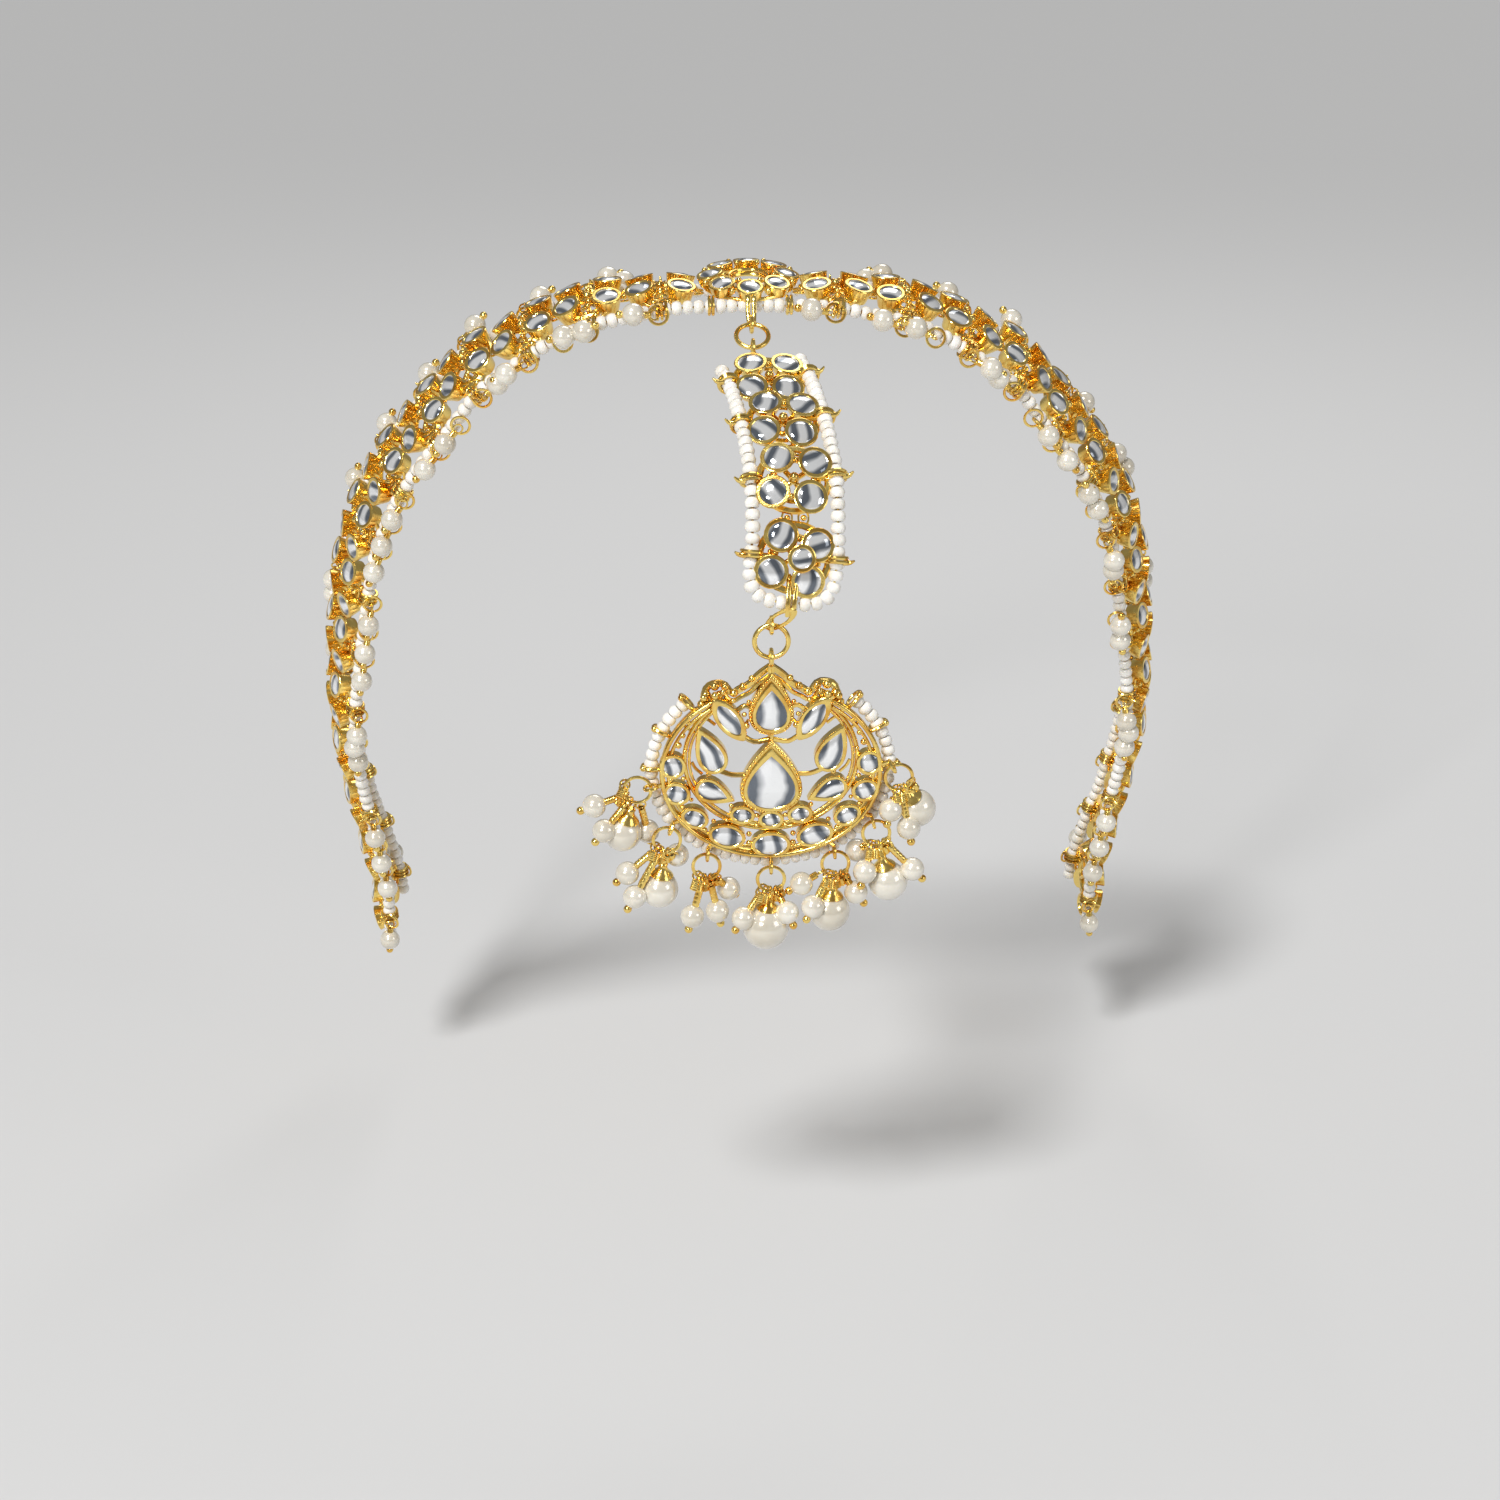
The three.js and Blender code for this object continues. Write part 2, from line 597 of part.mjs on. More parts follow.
// The strip's seed bead string: down one side, round under the last unit and up the other
function stripString() {
  const top = stripPlaces[0] - unitHalf;
  const bend = lastUnit + ALONG_SPACING / 2;
  const half = [];
  for (let i = 0; i < STRIP_LEG_STEPS; i++) {
    half.push([top + ((bend - top) * i) / STRIP_LEG_STEPS, stripStringX]);
  }
  for (let angle = 90; angle >= 0; angle -= CORNER_STEP) {
    const turn = radians(angle);
    half.push([bend + cornerR * Math.cos(turn), STRIP_ACROSS / 2 + cornerR * Math.sin(turn)]);
  }
  return beadString([
    ...half.map(([place, x]) => rowPoint(place, -x, ROW_LIFT)),
    ...half.reverse().map(([place, x]) => rowPoint(place, x, ROW_LIFT)),
  ]);
}

// Flat rail along an ellipse, open at the top between its two horns
function rail(a, b, width, rise, horn, low, high, segments) {
  const from = radians(180 - horn);
  const to = radians(360 + horn);
  const shape = new THREE.Shape();
  shape.moveTo(a * Math.cos(from), rise + b * Math.sin(from));
  shape.absellipse(0, rise, a, b, from, to, false);
  shape.absellipse(0, rise, a - width, b - width, to, from, true);
  const settings = { depth: high - low, bevelEnabled: false, curveSegments: segments };
  return new THREE.ExtrudeGeometry(shape, settings).translate(0, 0, low);
}

function gem({ kind, wide, long, sides, across, up, turn }, mirror) {
  const w = wide * CRESCENT_B;
  const l = long * CRESCENT_B;
  const inW = w - 2 * STONE_RIM;
  const inL = l - 2 * STONE_RIM;
  const table = TABLE_D / SETTING_D;
  const rim = PLATE_T / 2 + GEM_H;
  const levels = [
    { wide: w, long: l, height: -PLATE_T / 3 },
    { wide: w, long: l, height: rim },
    { wide: inW, long: inL, height: rim },
    { wide: inW * table, long: inL * table, height: rim + STONE_RISE },
  ];
  if (kind === "oval") levels.splice(2, 1);
  const stone = setting({ kind, sides }, levels).rotateZ(radians(mirror * turn));
  return stone.translate(mirror * across * CRESCENT_A, up * CRESCENT_B, 0);
}

function crescentPoint([across, up], mirror, front) {
  return new THREE.Vector3(mirror * across * CRESCENT_A, up * CRESCENT_B, front);
}

const railBack = -PLATE_T / 2 - GALLERY_T;
const rimStringOut = RIM_STRING_GAP + SEED_D / 2;
const rimStringBack = railBack + SINK;
const eyeletFront = rimStringBack + SEED_D / 2 + GAP + EYELET_R + EYELET_WIRE / 2;

function rimPoint(angle, out, front) {
  const turn = radians(angle);
  return new THREE.Vector3(
    (CRESCENT_A + out) * Math.cos(turn),
    (CRESCENT_B + out) * Math.sin(turn),
    front,
  );
}

function eyeletPoint(angle) {
  return rimPoint(angle, rimStringOut + GAP, eyeletFront);
}

// Loop on the rim, in the plane of its ring's direction and the front, with its stub
function eyelet(angle, ring) {
  const middle = eyeletPoint(angle);
  const loop = new THREE.TorusGeometry(EYELET_R, EYELET_WIRE / 2, THIN_SIDES, STONE_SIDES).rotateX(Math.PI / 2);
  loop.rotateZ(radians(ring)).translate(...middle.toArray());
  const hang = new THREE.Vector3(Math.cos(radians(ring)), Math.sin(radians(ring)), 0);
  const end = middle.clone().addScaledVector(hang, -EYELET_R);
  const start = rimPoint(angle, -OUTER_RAIL_W / 2, PLATE_T / 2 - SINK);
  return [loop, tube(new THREE.LineCurve3(start, end), EYELET_WIRE, THIN_SIDES, 1)];
}

// The pendant's plate stands in its own plane: x across, y up, z to the front
function pendantPlate() {
  const plateBack = -PLATE_T / 2;
  const innerA = CRESCENT_A - SIDE_CHANNEL;
  const innerB = CRESCENT_B - FOOT_CHANNEL;
  const pieces = [
    rail(CRESCENT_A, CRESCENT_B, OUTER_RAIL_W, 0, HORN_ANGLE, railBack, PLATE_T / 2, 18),
    rail(innerA, innerB, INNER_RAIL_W, INNER_RISE, INNER_HORN_ANGLE, plateBack, PLATE_T / 4, 14),
  ];
  for (const row of GEMS) {
    pieces.push(gem(row, 1));
    if (row.across) pieces.push(gem(row, -1));
  }
  for (const mirror of [-1, 1]) {
    for (const bar of BARS) {
      const points = bar.map((point) => crescentPoint(point, mirror, 0));
      pieces.push(tube(curveThrough(points), BAR_WIRE, WIRE_SIDES, 2));
    }
    for (const tie of TIES) {
      const [start, end] = tie.map((point) => crescentPoint(point, mirror, 0));
      pieces.push(tube(new THREE.LineCurve3(start, end), BAR_WIRE, THIN_SIDES, 1));
    }
  }
  const scrollBack = plateBack - GALLERY_T / 2;
  const scroll = [
    ...TOP_SCROLL.map((point) => crescentPoint(point, -1, scrollBack)),
    ...TOP_SCROLL.slice(0, -1).reverse().map((point) => crescentPoint(point, 1, scrollBack)),
  ];
  pieces.push(tube(curveThrough(scroll), BAR_WIRE, WIRE_SIDES, SCROLL_STEPS));
  const stem = STEM.map((up) => crescentPoint([0, up], 1, 0));
  pieces.push(tube(new THREE.LineCurve3(...stem), BAR_WIRE, WIRE_SIDES, 1));
  const bail = ringGeometry(loopRadius, LOOP_WIRE, LOOP_SIDES).rotateY(Math.PI / 2);
  pieces.push(bail.translate(0, BAIL_RISE, 0));
  const foot = new THREE.Vector3(0, BAIL_RISE - loopRadius, 0);
  const bailNeck = [crescentPoint([0, BAIL_FOOT], 1, 0), foot];
  pieces.push(tube(new THREE.LineCurve3(...bailNeck), BAR_WIRE, WIRE_SIDES, 1));
  const tie = [SINK, scrollBack].map((front) => crescentPoint([0, BACK_TIE], 1, front));
  pieces.push(tube(new THREE.LineCurve3(...tie), BAR_WIRE, WIRE_SIDES, 1));
  for (const row of DROPS) pieces.push(...eyelet(row.eyelet, row.ring));
  return fused(pieces);
}

function rimString() {
  const from = 180 - STRING_HORN_ANGLE;
  const sweep = 180 + 2 * STRING_HORN_ANGLE;
  const points = Array.from({ length: RIM_STRING_STEPS + 1 }, (_, i) =>
    rimPoint(from + (sweep * i) / RIM_STRING_STEPS, rimStringOut, rimStringBack),
  );
  return beadString(points);
}

// One drop: a ring through its eyelet, and pearls on pins from the ring
function drop({ eyelet: angle, ring, size, big, small }) {
  const turn = radians(ring);
  const middle = eyeletPoint(angle);
  middle.x += DROP_RING_R * Math.cos(turn);
  middle.y += DROP_RING_R * Math.sin(turn);
  const pieces = [ringGeometry(DROP_RING_R, DROP_WIRE, LOOP_SIDES).translate(...middle.toArray())];
  const hang = (offset, diameter, rows) => {
    const away = new THREE.Vector3(...offset).multiplyScalar(SMALL_PEARL_D);
    const centre = middle.clone().add(away);
    const outwards = away.clone().setZ(0).normalize();
    const start = middle.clone().addScaledVector(outwards, DROP_RING_R);
    pieces.push(pearlOnPin(centre, start, diameter, rows));
  };
  if (size) hang(big, size * BIG_PEARL_D, BIG_ROWS);
  for (const offset of small) hang(offset, SMALL_PEARL_D, SMALL_ROWS);
  return fused(pieces);
}

// A pearl whose wire wrap tapers up to its ring; rows are its rings' places, in degrees
function pearlOnPin(centre, start, diameter, rows) {
  const radius = diameter / 2;
  const pin = new THREE.Vector3().subVectors(start, centre);
  const wrap = Math.max(pin.length(), radius * WRAP_LEAST);
  const profile = [
    new THREE.Vector2(0, -radius),
    ...rows.map((angle) => {
      const turn = radians(angle);
      return new THREE.Vector2(radius * Math.cos(turn), radius * Math.sin(turn));
    }),
    new THREE.Vector2(0, wrap + PIN_WIRE / 2),
  ];
  const upright = new THREE.Quaternion().setFromUnitVectors(
    new THREE.Vector3(0, 1, 0),
    pin.normalize(),
  );
  const pearlShape = new THREE.LatheGeometry(profile, PEARL_SIDES).applyQuaternion(upright);
  return pearlShape.translate(...centre.toArray());
}

const mattePearl = new THREE.MeshStandardMaterial(pearl);
const seedBeads = new THREE.MeshStandardMaterial(seedWhite);
const goldMetal = new THREE.MeshStandardMaterial(gold);

function named(name, geometry, material) {
  const mesh = new THREE.Mesh(geometry, material);
  mesh.name = name;
  return mesh;
}

const group = new THREE.Group();
group.add(named("crown_flower", crownFlower(), goldMetal));

const jumpRingUpper = named("jump_ring_upper", ringGeometry(RING_R, RING_WIRE, RING_SIDES), goldMetal);
jumpRingUpper.position.copy(upperRingAt);
jumpRingUpper.rotation.x = radians(UPPER_RING_SLOPE);
group.add(jumpRingUpper);

group.add(named("centre_strip", centreStrip(), goldMetal));
group.add(named("centre_strip_string", stripString(), seedBeads));

const band = sideBand();
const frontString = sideString(-1);
const backString = sideString(1);
for (const [side, mirror] of [["right", 1], ["left", -1]]) {
  const half = new THREE.Group();
  half.scale.x = mirror;
  half.add(named(side + "_band", band, goldMetal));
  half.add(named(side + "_front_string", frontString, seedBeads));
  half.add(named(side + "_back_string", backString, seedBeads));
  group.add(half);
}

const jumpRingLower = named("jump_ring_lower", ringGeometry(RING_R, RING_WIRE, RING_SIDES), goldMetal);
jumpRingLower.position.copy(lowerRingAt);
jumpRingLower.rotation.x = Math.PI / 2;
group.add(jumpRingLower);

const pendant = new THREE.Group();
pendant.position.set(...PENDANT_AT);
pendant.rotation.x = Math.PI / 2;
pendant.add(named("pendant_plate", pendantPlate(), goldMetal));
pendant.add(named("pendant_rim_string", rimString(), seedBeads));
DROPS.forEach((row, i) => pendant.add(named("pendant_drop_" + (i + 1), drop(row), mattePearl)));
group.add(pendant);

export default group;
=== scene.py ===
"""Matha patti in its worn form: cut stones, bead strings, wire work and pearls over its solids."""

import logging
import math
from dataclasses import dataclass, field
from enum import Enum
from typing import Callable, Sequence

import bmesh
import bpy
from mathutils import Matrix, Vector


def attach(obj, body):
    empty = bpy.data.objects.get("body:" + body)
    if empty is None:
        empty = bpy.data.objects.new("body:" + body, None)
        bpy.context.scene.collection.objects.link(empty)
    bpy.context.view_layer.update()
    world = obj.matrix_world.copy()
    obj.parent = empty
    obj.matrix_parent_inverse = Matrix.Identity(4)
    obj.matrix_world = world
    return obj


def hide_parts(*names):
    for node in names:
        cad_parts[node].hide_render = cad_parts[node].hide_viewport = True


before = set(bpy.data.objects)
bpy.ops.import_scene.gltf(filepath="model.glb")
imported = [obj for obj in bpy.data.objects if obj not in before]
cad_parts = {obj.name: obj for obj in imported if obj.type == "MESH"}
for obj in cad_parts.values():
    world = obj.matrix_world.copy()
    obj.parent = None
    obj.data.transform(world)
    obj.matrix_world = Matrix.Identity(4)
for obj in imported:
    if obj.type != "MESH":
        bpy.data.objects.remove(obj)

LOG = logging.getLogger("matha_patti")
MM = 0.001
STONE_PLAN = "stone_plan"

Profile = Sequence[tuple[float, float]]

# Sizes shared with the solids, in millimetres and degrees
ARCH_HALF_WIDTH = 96.0
ARCH_DROP = 173.0
ARCH_TOP = 3.0
BAND_LEAN = 14.0
BAND_TURNS = ((0, 0), (0.05, 0), (0.14, 10), (0.35, 24), (0.55, 24), (0.8, 6), (1, -8))
UNIT_PITCH = 15.6
SETTING_D = 6.1
ALONG_SPACING = 7.7
ACROSS_SPACING = 8.1
STRIP_ACROSS = 7.0
BAND_UNDER = 2.2
STRIP_UNDER = 1.5
STRING_UNDER = 3.0
SEED_TUBE = 2.4
GAP = 0.3
CROWN_RING_R = 7.65
CROWN_SETTING_D = 5.8
CROWN_BASE = ARCH_TOP - STRING_UNDER + SEED_TUBE / 2 + GAP
RING_R = 3.35
LOOP_R = 1.55
UPPER_RING = Vector((0.0, -17.4, -4.6))
UPPER_RING_SLOPE = 33.0
PENDANT_AT = Vector((1.2, -65.5, -82.2))
BAIL_RISE = 24.2
LOWER_RING = PENDANT_AT + Vector((0.0, 0.0, BAIL_RISE + RING_R))
CRESCENT_A = 22.3
CRESCENT_B = 18.5
DROP_RING_R = 2.75
SMALL_PEARL_D = 4.9
BIG_PEARL_D = 8.2
STRIP_FIRST = 9.9
END_LOOP_R = 2.6
STRING_PITCH = 2.3
STRING_SIZE = 1.08
RIM_PITCH = 2.05
UNIT_HALF = (ALONG_SPACING + SETTING_D) / 2
STRING_ACROSS = ACROSS_SPACING / 2 + SETTING_D / 2 + GAP + SEED_TUBE / 2
BAND_START = CROWN_RING_R + CROWN_SETTING_D / 2 + GAP
FIRST_UNIT = BAND_START + UNIT_PITCH / 2

BAND_ROUTE = (
    (0, 0), (0.25, 0.006), (0.396, 0.023), (0.52, 0.058), (0.635, 0.101), (0.73, 0.162),
    (0.8125, 0.22), (0.875, 0.277), (0.927, 0.347), (0.958, 0.422), (0.984, 0.509),
    (1, 0.601), (0.995, 0.682), (0.969, 0.786), (0.9375, 0.896), (0.932, 1),
)
STRIP_ROUTE = (
    (0.4, -21.6, -7.6), (1.6, -26.2, -9.1), (2.7, -31, -10.5), (4.6, -45.6, -15.5),
    (5.9, -58.6, -24), (5.6, -64.9, -38.2), (3.8, -65.5, -48.6),
)


class Finish(Enum):
    """The finishes a face can take; the value is its material index in a stamp."""

    GOLD = 0
    STONE = 1
    PEARL = 2
    SEED = 3


class Outline(Enum):
    """Plan shapes of the settings."""

    OVAL = "oval"
    DROP = "drop"
    MARQUISE = "marquise"

    @property
    def pull(self) -> float:
        """Gives how much the length shrinks for each millimetre inwards; tips draw in faster."""
        return {Outline.OVAL: 2.0, Outline.DROP: 3.2, Outline.MARQUISE: 4.4}[self]

    def point(self, share: float, wide: float, long: float, half_step: float) -> Vector:
        """Gives a point of the outline.

        Args:
            share: Place round the outline, from 0 to 1.
            wide: Width across.
            long: Length, with the tip of a drop up.
            half_step: Half the turn between two points, which evens an oval's corners.

        Returns:
            The point in the plane of the outline.
        """
        turn = 2 * math.pi * share + (half_step if self is Outline.OVAL else 0.0)
        sine = math.sin(turn)
        if self is Outline.DROP:
            sine *= abs(math.sin(turn / 2)) / 0.77
        elif self is Outline.MARQUISE:
            sine *= abs(math.sin(turn)) ** 0.4
        return Vector((-wide / 2 * sine, long / 2 * math.cos(turn), 0.0))


class Route:
    """Smooth line through points, measured along its length, as the solids' lines are."""

    def __init__(self, points: Sequence[Sequence[float]], per_span: int = 24) -> None:
        """Samples the line.

        Args:
            points: Points that the line passes through.
            per_span: Samples between two of them.
        """
        knots = [Vector(p) for p in points]
        knots = [2 * knots[0] - knots[1], *knots, 2 * knots[-1] - knots[-2]]
        self.samples: list[Vector] = []
        for i in range(1, len(knots) - 2):
            self.samples += [self._span(knots[i - 1 : i + 3], k / per_span) for k in range(per_span)]
        self.samples.append(knots[-2])
        self.reach = [0.0]
        for a, b in zip(self.samples, self.samples[1:]):
            self.reach.append(self.reach[-1] + (b - a).length)
        self.length = self.reach[-1]

    @staticmethod
    def _span(p: Sequence[Vector], t: float) -> Vector:
        """Gives the point at share t between the second and third of four knots.

        Args:
            p: The four knots.
            t: Share of the way from the second to the third.

        Returns:
            The point.
        """
        d = [max((p[i + 1] - p[i]).length ** 0.5, 1e-6) for i in range(3)]
        t1 = (p[1] - p[0]) / d[0] - (p[2] - p[0]) / (d[0] + d[1]) + (p[2] - p[1]) / d[1]
        t2 = (p[2] - p[1]) / d[1] - (p[3] - p[1]) / (d[1] + d[2]) + (p[3] - p[2]) / d[2]
        t1, t2 = t1 * d[1], t2 * d[1]
        square = -3 * p[1] + 3 * p[2] - 2 * t1 - t2
        cube = 2 * p[1] - 2 * p[2] + t1 + t2
        return p[1] + t1 * t + square * t * t + cube * t**3

    def at(self, distance: float) -> tuple[Vector, Vector]:
        """Gives the point and the direction at a distance along the line.

        Args:
            distance: Distance along the line.

        Returns:
            The point and the direction.
        """
        place = min(max(distance, 0.0), self.length - 1e-6)
        low, high = 0, len(self.reach) - 1
        while high - low > 1:
            middle = (low + high) // 2
            low, high = (middle, high) if self.reach[middle] <= place else (low, middle)
        a, b = self.samples[low], self.samples[high]
        share = (place - self.reach[low]) / (self.reach[high] - self.reach[low])
        before, after = self.samples[max(low - 1, 0)], self.samples[min(high + 1, len(self.samples) - 1)]
        direction = (b - before).lerp(after - a, share).normalized()
        point = a.lerp(b, share) + direction * (distance - place)
        return point, direction

    def frames(self, steps: int) -> list[Matrix]:
        """Gives evenly spaced frames whose z runs along the line without turning about it.

        Args:
            steps: Steps between the first frame and the last.

        Returns:
            The frames.
        """
        frames: list[Matrix] = []
        side = Vector((0.3, 0.2, 1.0))
        for i in range(steps + 1):
            point, along = self.at(self.length * i / steps)
            if i == 0 and abs(side.normalized().dot(along)) > 0.9:
                side = Vector((1.0, 0.1, 0.0))
            side = (side - along * side.dot(along)).normalized()
            frames.append(basis(side, along.cross(side), along, point))
        return frames


def basis(x: Vector, y: Vector, z: Vector, origin: Vector) -> Matrix:
    """Makes a frame from its three directions and its origin.

    Args:
        x: Direction of x.
        y: Direction of y.
        z: Direction of z.
        origin: Origin of the frame.

    Returns:
        The frame.
    """
    turned = Matrix((x, y, z)).transposed().to_4x4()
    turned.translation = origin
    return turned


def facing(direction: Vector, origin: Vector, roll: float = 0.0) -> Matrix:
    """Makes a frame at an origin whose z points in a direction.

    Args:
        direction: Where the frame's z points.
        origin: Origin of the frame.
        roll: Turn about z, in degrees.

    Returns:
        The frame.
    """
    turn = direction.to_track_quat("Z", "Y").to_matrix().to_4x4()
    return Matrix.Translation(origin) @ turn @ Matrix.Rotation(math.radians(roll), 4, "Z")


def shift(x: float, y: float, z: float) -> Matrix:
    """Makes a translation."""
    return Matrix.Translation((x, y, z))


def stamp_of(bm: bmesh.types.BMesh, finish: Finish | None, crease: float = 38.0) -> bpy.types.Mesh:
    """Turns a finished bmesh into a mesh that is pressed into pieces.

    Args:
        bm: The shape, in millimetres. It is freed.
        finish: Finish of all faces, or None where the faces already have theirs.
        crease: Angle past which an edge is left sharp, in degrees.

    Returns:
        The mesh.
    """
    bmesh.ops.remove_doubles(bm, verts=bm.verts, dist=1e-4)
    bmesh.ops.recalc_face_normals(bm, faces=bm.faces)
    for face in bm.faces:
        face.smooth = True
        if finish is not None:
            face.material_index = finish.value
    for edge in bm.edges:
        edge.smooth = edge.calc_face_angle(0.0) < math.radians(crease)
    mesh = bpy.data.meshes.new("stamp")
    bm.to_mesh(mesh)
    bm.free()
    return mesh


def turned(profile: Profile, around: int, finish: Finish) -> bpy.types.Mesh:
    """Spins a profile about z.

    Args:
        profile: Radius and height of each point, from axis to axis or back to the first point.
        around: Steps of the full turn.
        finish: Finish of the faces.

    Returns:
        The turned stamp.
    """
    bm = bmesh.new()
    verts = [bm.verts.new((r, 0.0, z)) for r, z in profile]
    edges = [bm.edges.new(pair) for pair in zip(verts, verts[1:])]
    if min(r for r, _ in profile) > 1e-6:
        edges.append(bm.edges.new((verts[-1], verts[0])))
    bmesh.ops.spin(
        bm, geom=verts + edges, axis=(0, 0, 1), cent=(0, 0, 0), steps=around,
        angle=2 * math.pi, use_merge=True,
    )
    return stamp_of(bm, finish)


def ring_stamp(radius: float, wire: float, around: int, sides: int, finish: Finish) -> bpy.types.Mesh:
    """Makes a ring of round wire that lies in the xy plane.

    Args:
        radius: Middle of the ring to the middle of its wire.
        wire: Diameter of the wire.
        around: Steps of the full turn.
        sides: Sides of the wire's section.
        finish: Finish of the faces.

    Returns:
        The ring.
    """
    turns = [2 * math.pi * i / sides for i in range(sides)]
    profile = [(radius + wire / 2 * math.cos(t), wire / 2 * math.sin(t)) for t in turns]
    return turned(profile, around, finish)


def ball_stamp(diameter: float, around: int, finish: Finish) -> bpy.types.Mesh:
    """Makes a ball about the origin.

    Args:
        diameter: Diameter of the ball.
        around: Steps of the full turn.
        finish: Finish of the faces.

    Returns:
        The ball.
    """
    bm = bmesh.new()
    bmesh.ops.create_uvsphere(
        bm, u_segments=around, v_segments=max(around * 2 // 3, 4), radius=diameter / 2
    )
    return stamp_of(bm, finish)


def wire_stamp(
    frames: Sequence[Matrix], diameter: float, sides: int, finish: Finish,
    taper: Callable[[float], float] | None = None,
) -> bpy.types.Mesh:
    """Draws a round wire through frames whose z runs along it.

    Args:
        frames: The frames.
        diameter: Diameter of the wire.
        sides: Sides of its section.
        finish: Finish of the faces.
        taper: Gives the share of the diameter at a share of the way, or None for an even wire.

    Returns:
        The wire, closed at both ends.
    """
    bm = bmesh.new()
    size = [taper(i / (len(frames) - 1)) if taper else 1.0 for i in range(len(frames))]
    first = frames[0] @ Matrix.Scale(size[0], 4)
    bmesh.ops.create_circle(bm, cap_ends=True, segments=sides, radius=diameter / 2, matrix=first)
    edges = list(bm.edges)
    last = first
    for i, place in enumerate(frames[1:], start=1):
        grown = bmesh.ops.extrude_edge_only(bm, edges=edges)["geom"]
        verts = [g for g in grown if isinstance(g, bmesh.types.BMVert)]
        new = set(verts)
        edges = [g for g in grown if isinstance(g, bmesh.types.BMEdge) and set(g.verts) <= new]
        scaled = place @ Matrix.Scale(size[i], 4)
        bmesh.ops.transform(bm, matrix=scaled @ last.inverted(), verts=verts)
        last = scaled
    bmesh.ops.edgeloop_fill(bm, edges=edges)
    return stamp_of(bm, finish, crease=60.0)


def coil_stamp(radius: float, wire: float, turns: float, length: float) -> bpy.types.Mesh:
    """Winds wire about z, from the origin up.

    Args:
        radius: Axis to the middle of the wire.
        wire: Diameter of the wire.
        turns: Number of turns.
        length: Length of the coil.

    Returns:
        The coil.
    """
    steps = int(turns * 9)
    points = []
    for i in range(steps + 1):
        turn = 2 * math.pi * turns * i / steps
        points.append((radius * math.cos(turn), radius * math.sin(turn), length * i / steps))
    return wire_stamp(Route(points, 2).frames(steps), wire, 5, Finish.GOLD)


@dataclass
class Setting:
    """A metal collet with its foiled stone, standing on z = 0.

    Sizes are in millimetres. The collet flares by foot, the share of its plan at its base.
    """

    outline: Outline
    wide: float
    long: float
    sides: int
    height: float
    rim: float = 0.62
    foot: float = 1.0
    ledge: float = 0.0

    def stamp(self) -> bpy.types.Mesh:
        """Builds the collet, its rolled rim and the stone's facets.

        Returns:
            The setting.
        """
        bm = bmesh.new()
        bmesh.ops.create_circle(bm, cap_ends=True, segments=self.sides, radius=1.0)
        for i, vert in enumerate(bm.verts):
            vert.co = self.outline.point(i / self.sides, self.wide, self.long, math.pi / self.sides)
        face = list(bm.faces)[0]
        face.normal_update()
        if face.normal.z < 0:
            face.normal_flip()
        bmesh.ops.scale(bm, vec=(self.foot, self.foot, 1.0), verts=face.verts)
        self._step(bm, face, 0.01, self.height - 0.2, Finish.GOLD)
        bmesh.ops.scale(bm, vec=(1 / self.foot, 1 / self.foot, 1.0), verts=face.verts)
        if self.ledge:
            for inward, lift in ((0.1, 0.1), (self.ledge, 0.0), (0.02, 0.5)):
                self._step(bm, face, inward, lift, Finish.GOLD)
        for inward, lift in ((0.1, 0.15), (0.13, 0.06), (self.rim - 0.36, 0.0), (0.13, -0.12)):
            self._step(bm, face, inward, lift, Finish.GOLD)
        room = min(self.wide, self.long) / 2 - self.rim - self.ledge - 0.1
        for share, lift in ((0.06, -0.05), (0.12, 0.16), (0.2, 0.13), (0.24, 0.09), (0.24, 0.04)):
            self._step(bm, face, share * room, lift, Finish.STONE)
        face.material_index = Finish.STONE.value
        rim = [edge for edge in bm.edges if edge.is_boundary]
        bmesh.ops.edgeloop_fill(bm, edges=rim)
        # The stone's plan, on which its material lays painted reflection sweeps.
        plan = bm.loops.layers.uv.new(STONE_PLAN)
        for loop in (loop for side in bm.faces for loop in side.loops):
            x, y, _ = loop.vert.co
            loop[plan].uv = (0.5 + x / self.wide, 0.5 + y / self.wide)
        return stamp_of(bm, None, crease=24.0)

    def _step(
        self, bm: bmesh.types.BMesh, face: bmesh.types.BMFace, inward: float, lift: float, finish: Finish
    ) -> None:
        """Insets the top face along the outline, lifts it, and gives the new ring its finish.

        Args:
            bm: The setting's bmesh.
            face: The top face.
            inward: How far the outline draws in.
            lift: How far the face rises.
            finish: Finish of the new ring.
        """
        ring = bmesh.ops.inset_region(bm, faces=[face], thickness=0.0, use_boundary=True)
        for side in ring["faces"]:
            side.material_index = finish.value
        low = min(vert.co.y for vert in face.verts)
        high = max(vert.co.y for vert in face.verts)
        wide = 2 * max(vert.co.x for vert in face.verts)
        fixed = low + (high - low) * (1 / self.outline.pull if self.outline is Outline.DROP else 0.5)
        narrow = 1 - 2 * inward / wide
        shorten = max(1 - self.outline.pull * inward / (high - low), 0.6 * narrow)
        move = shift(0, fixed, lift) @ Matrix.Diagonal((narrow, shorten, 1, 1)) @ shift(0, -fixed, 0)
        bmesh.ops.transform(bm, matrix=move, verts=face.verts)


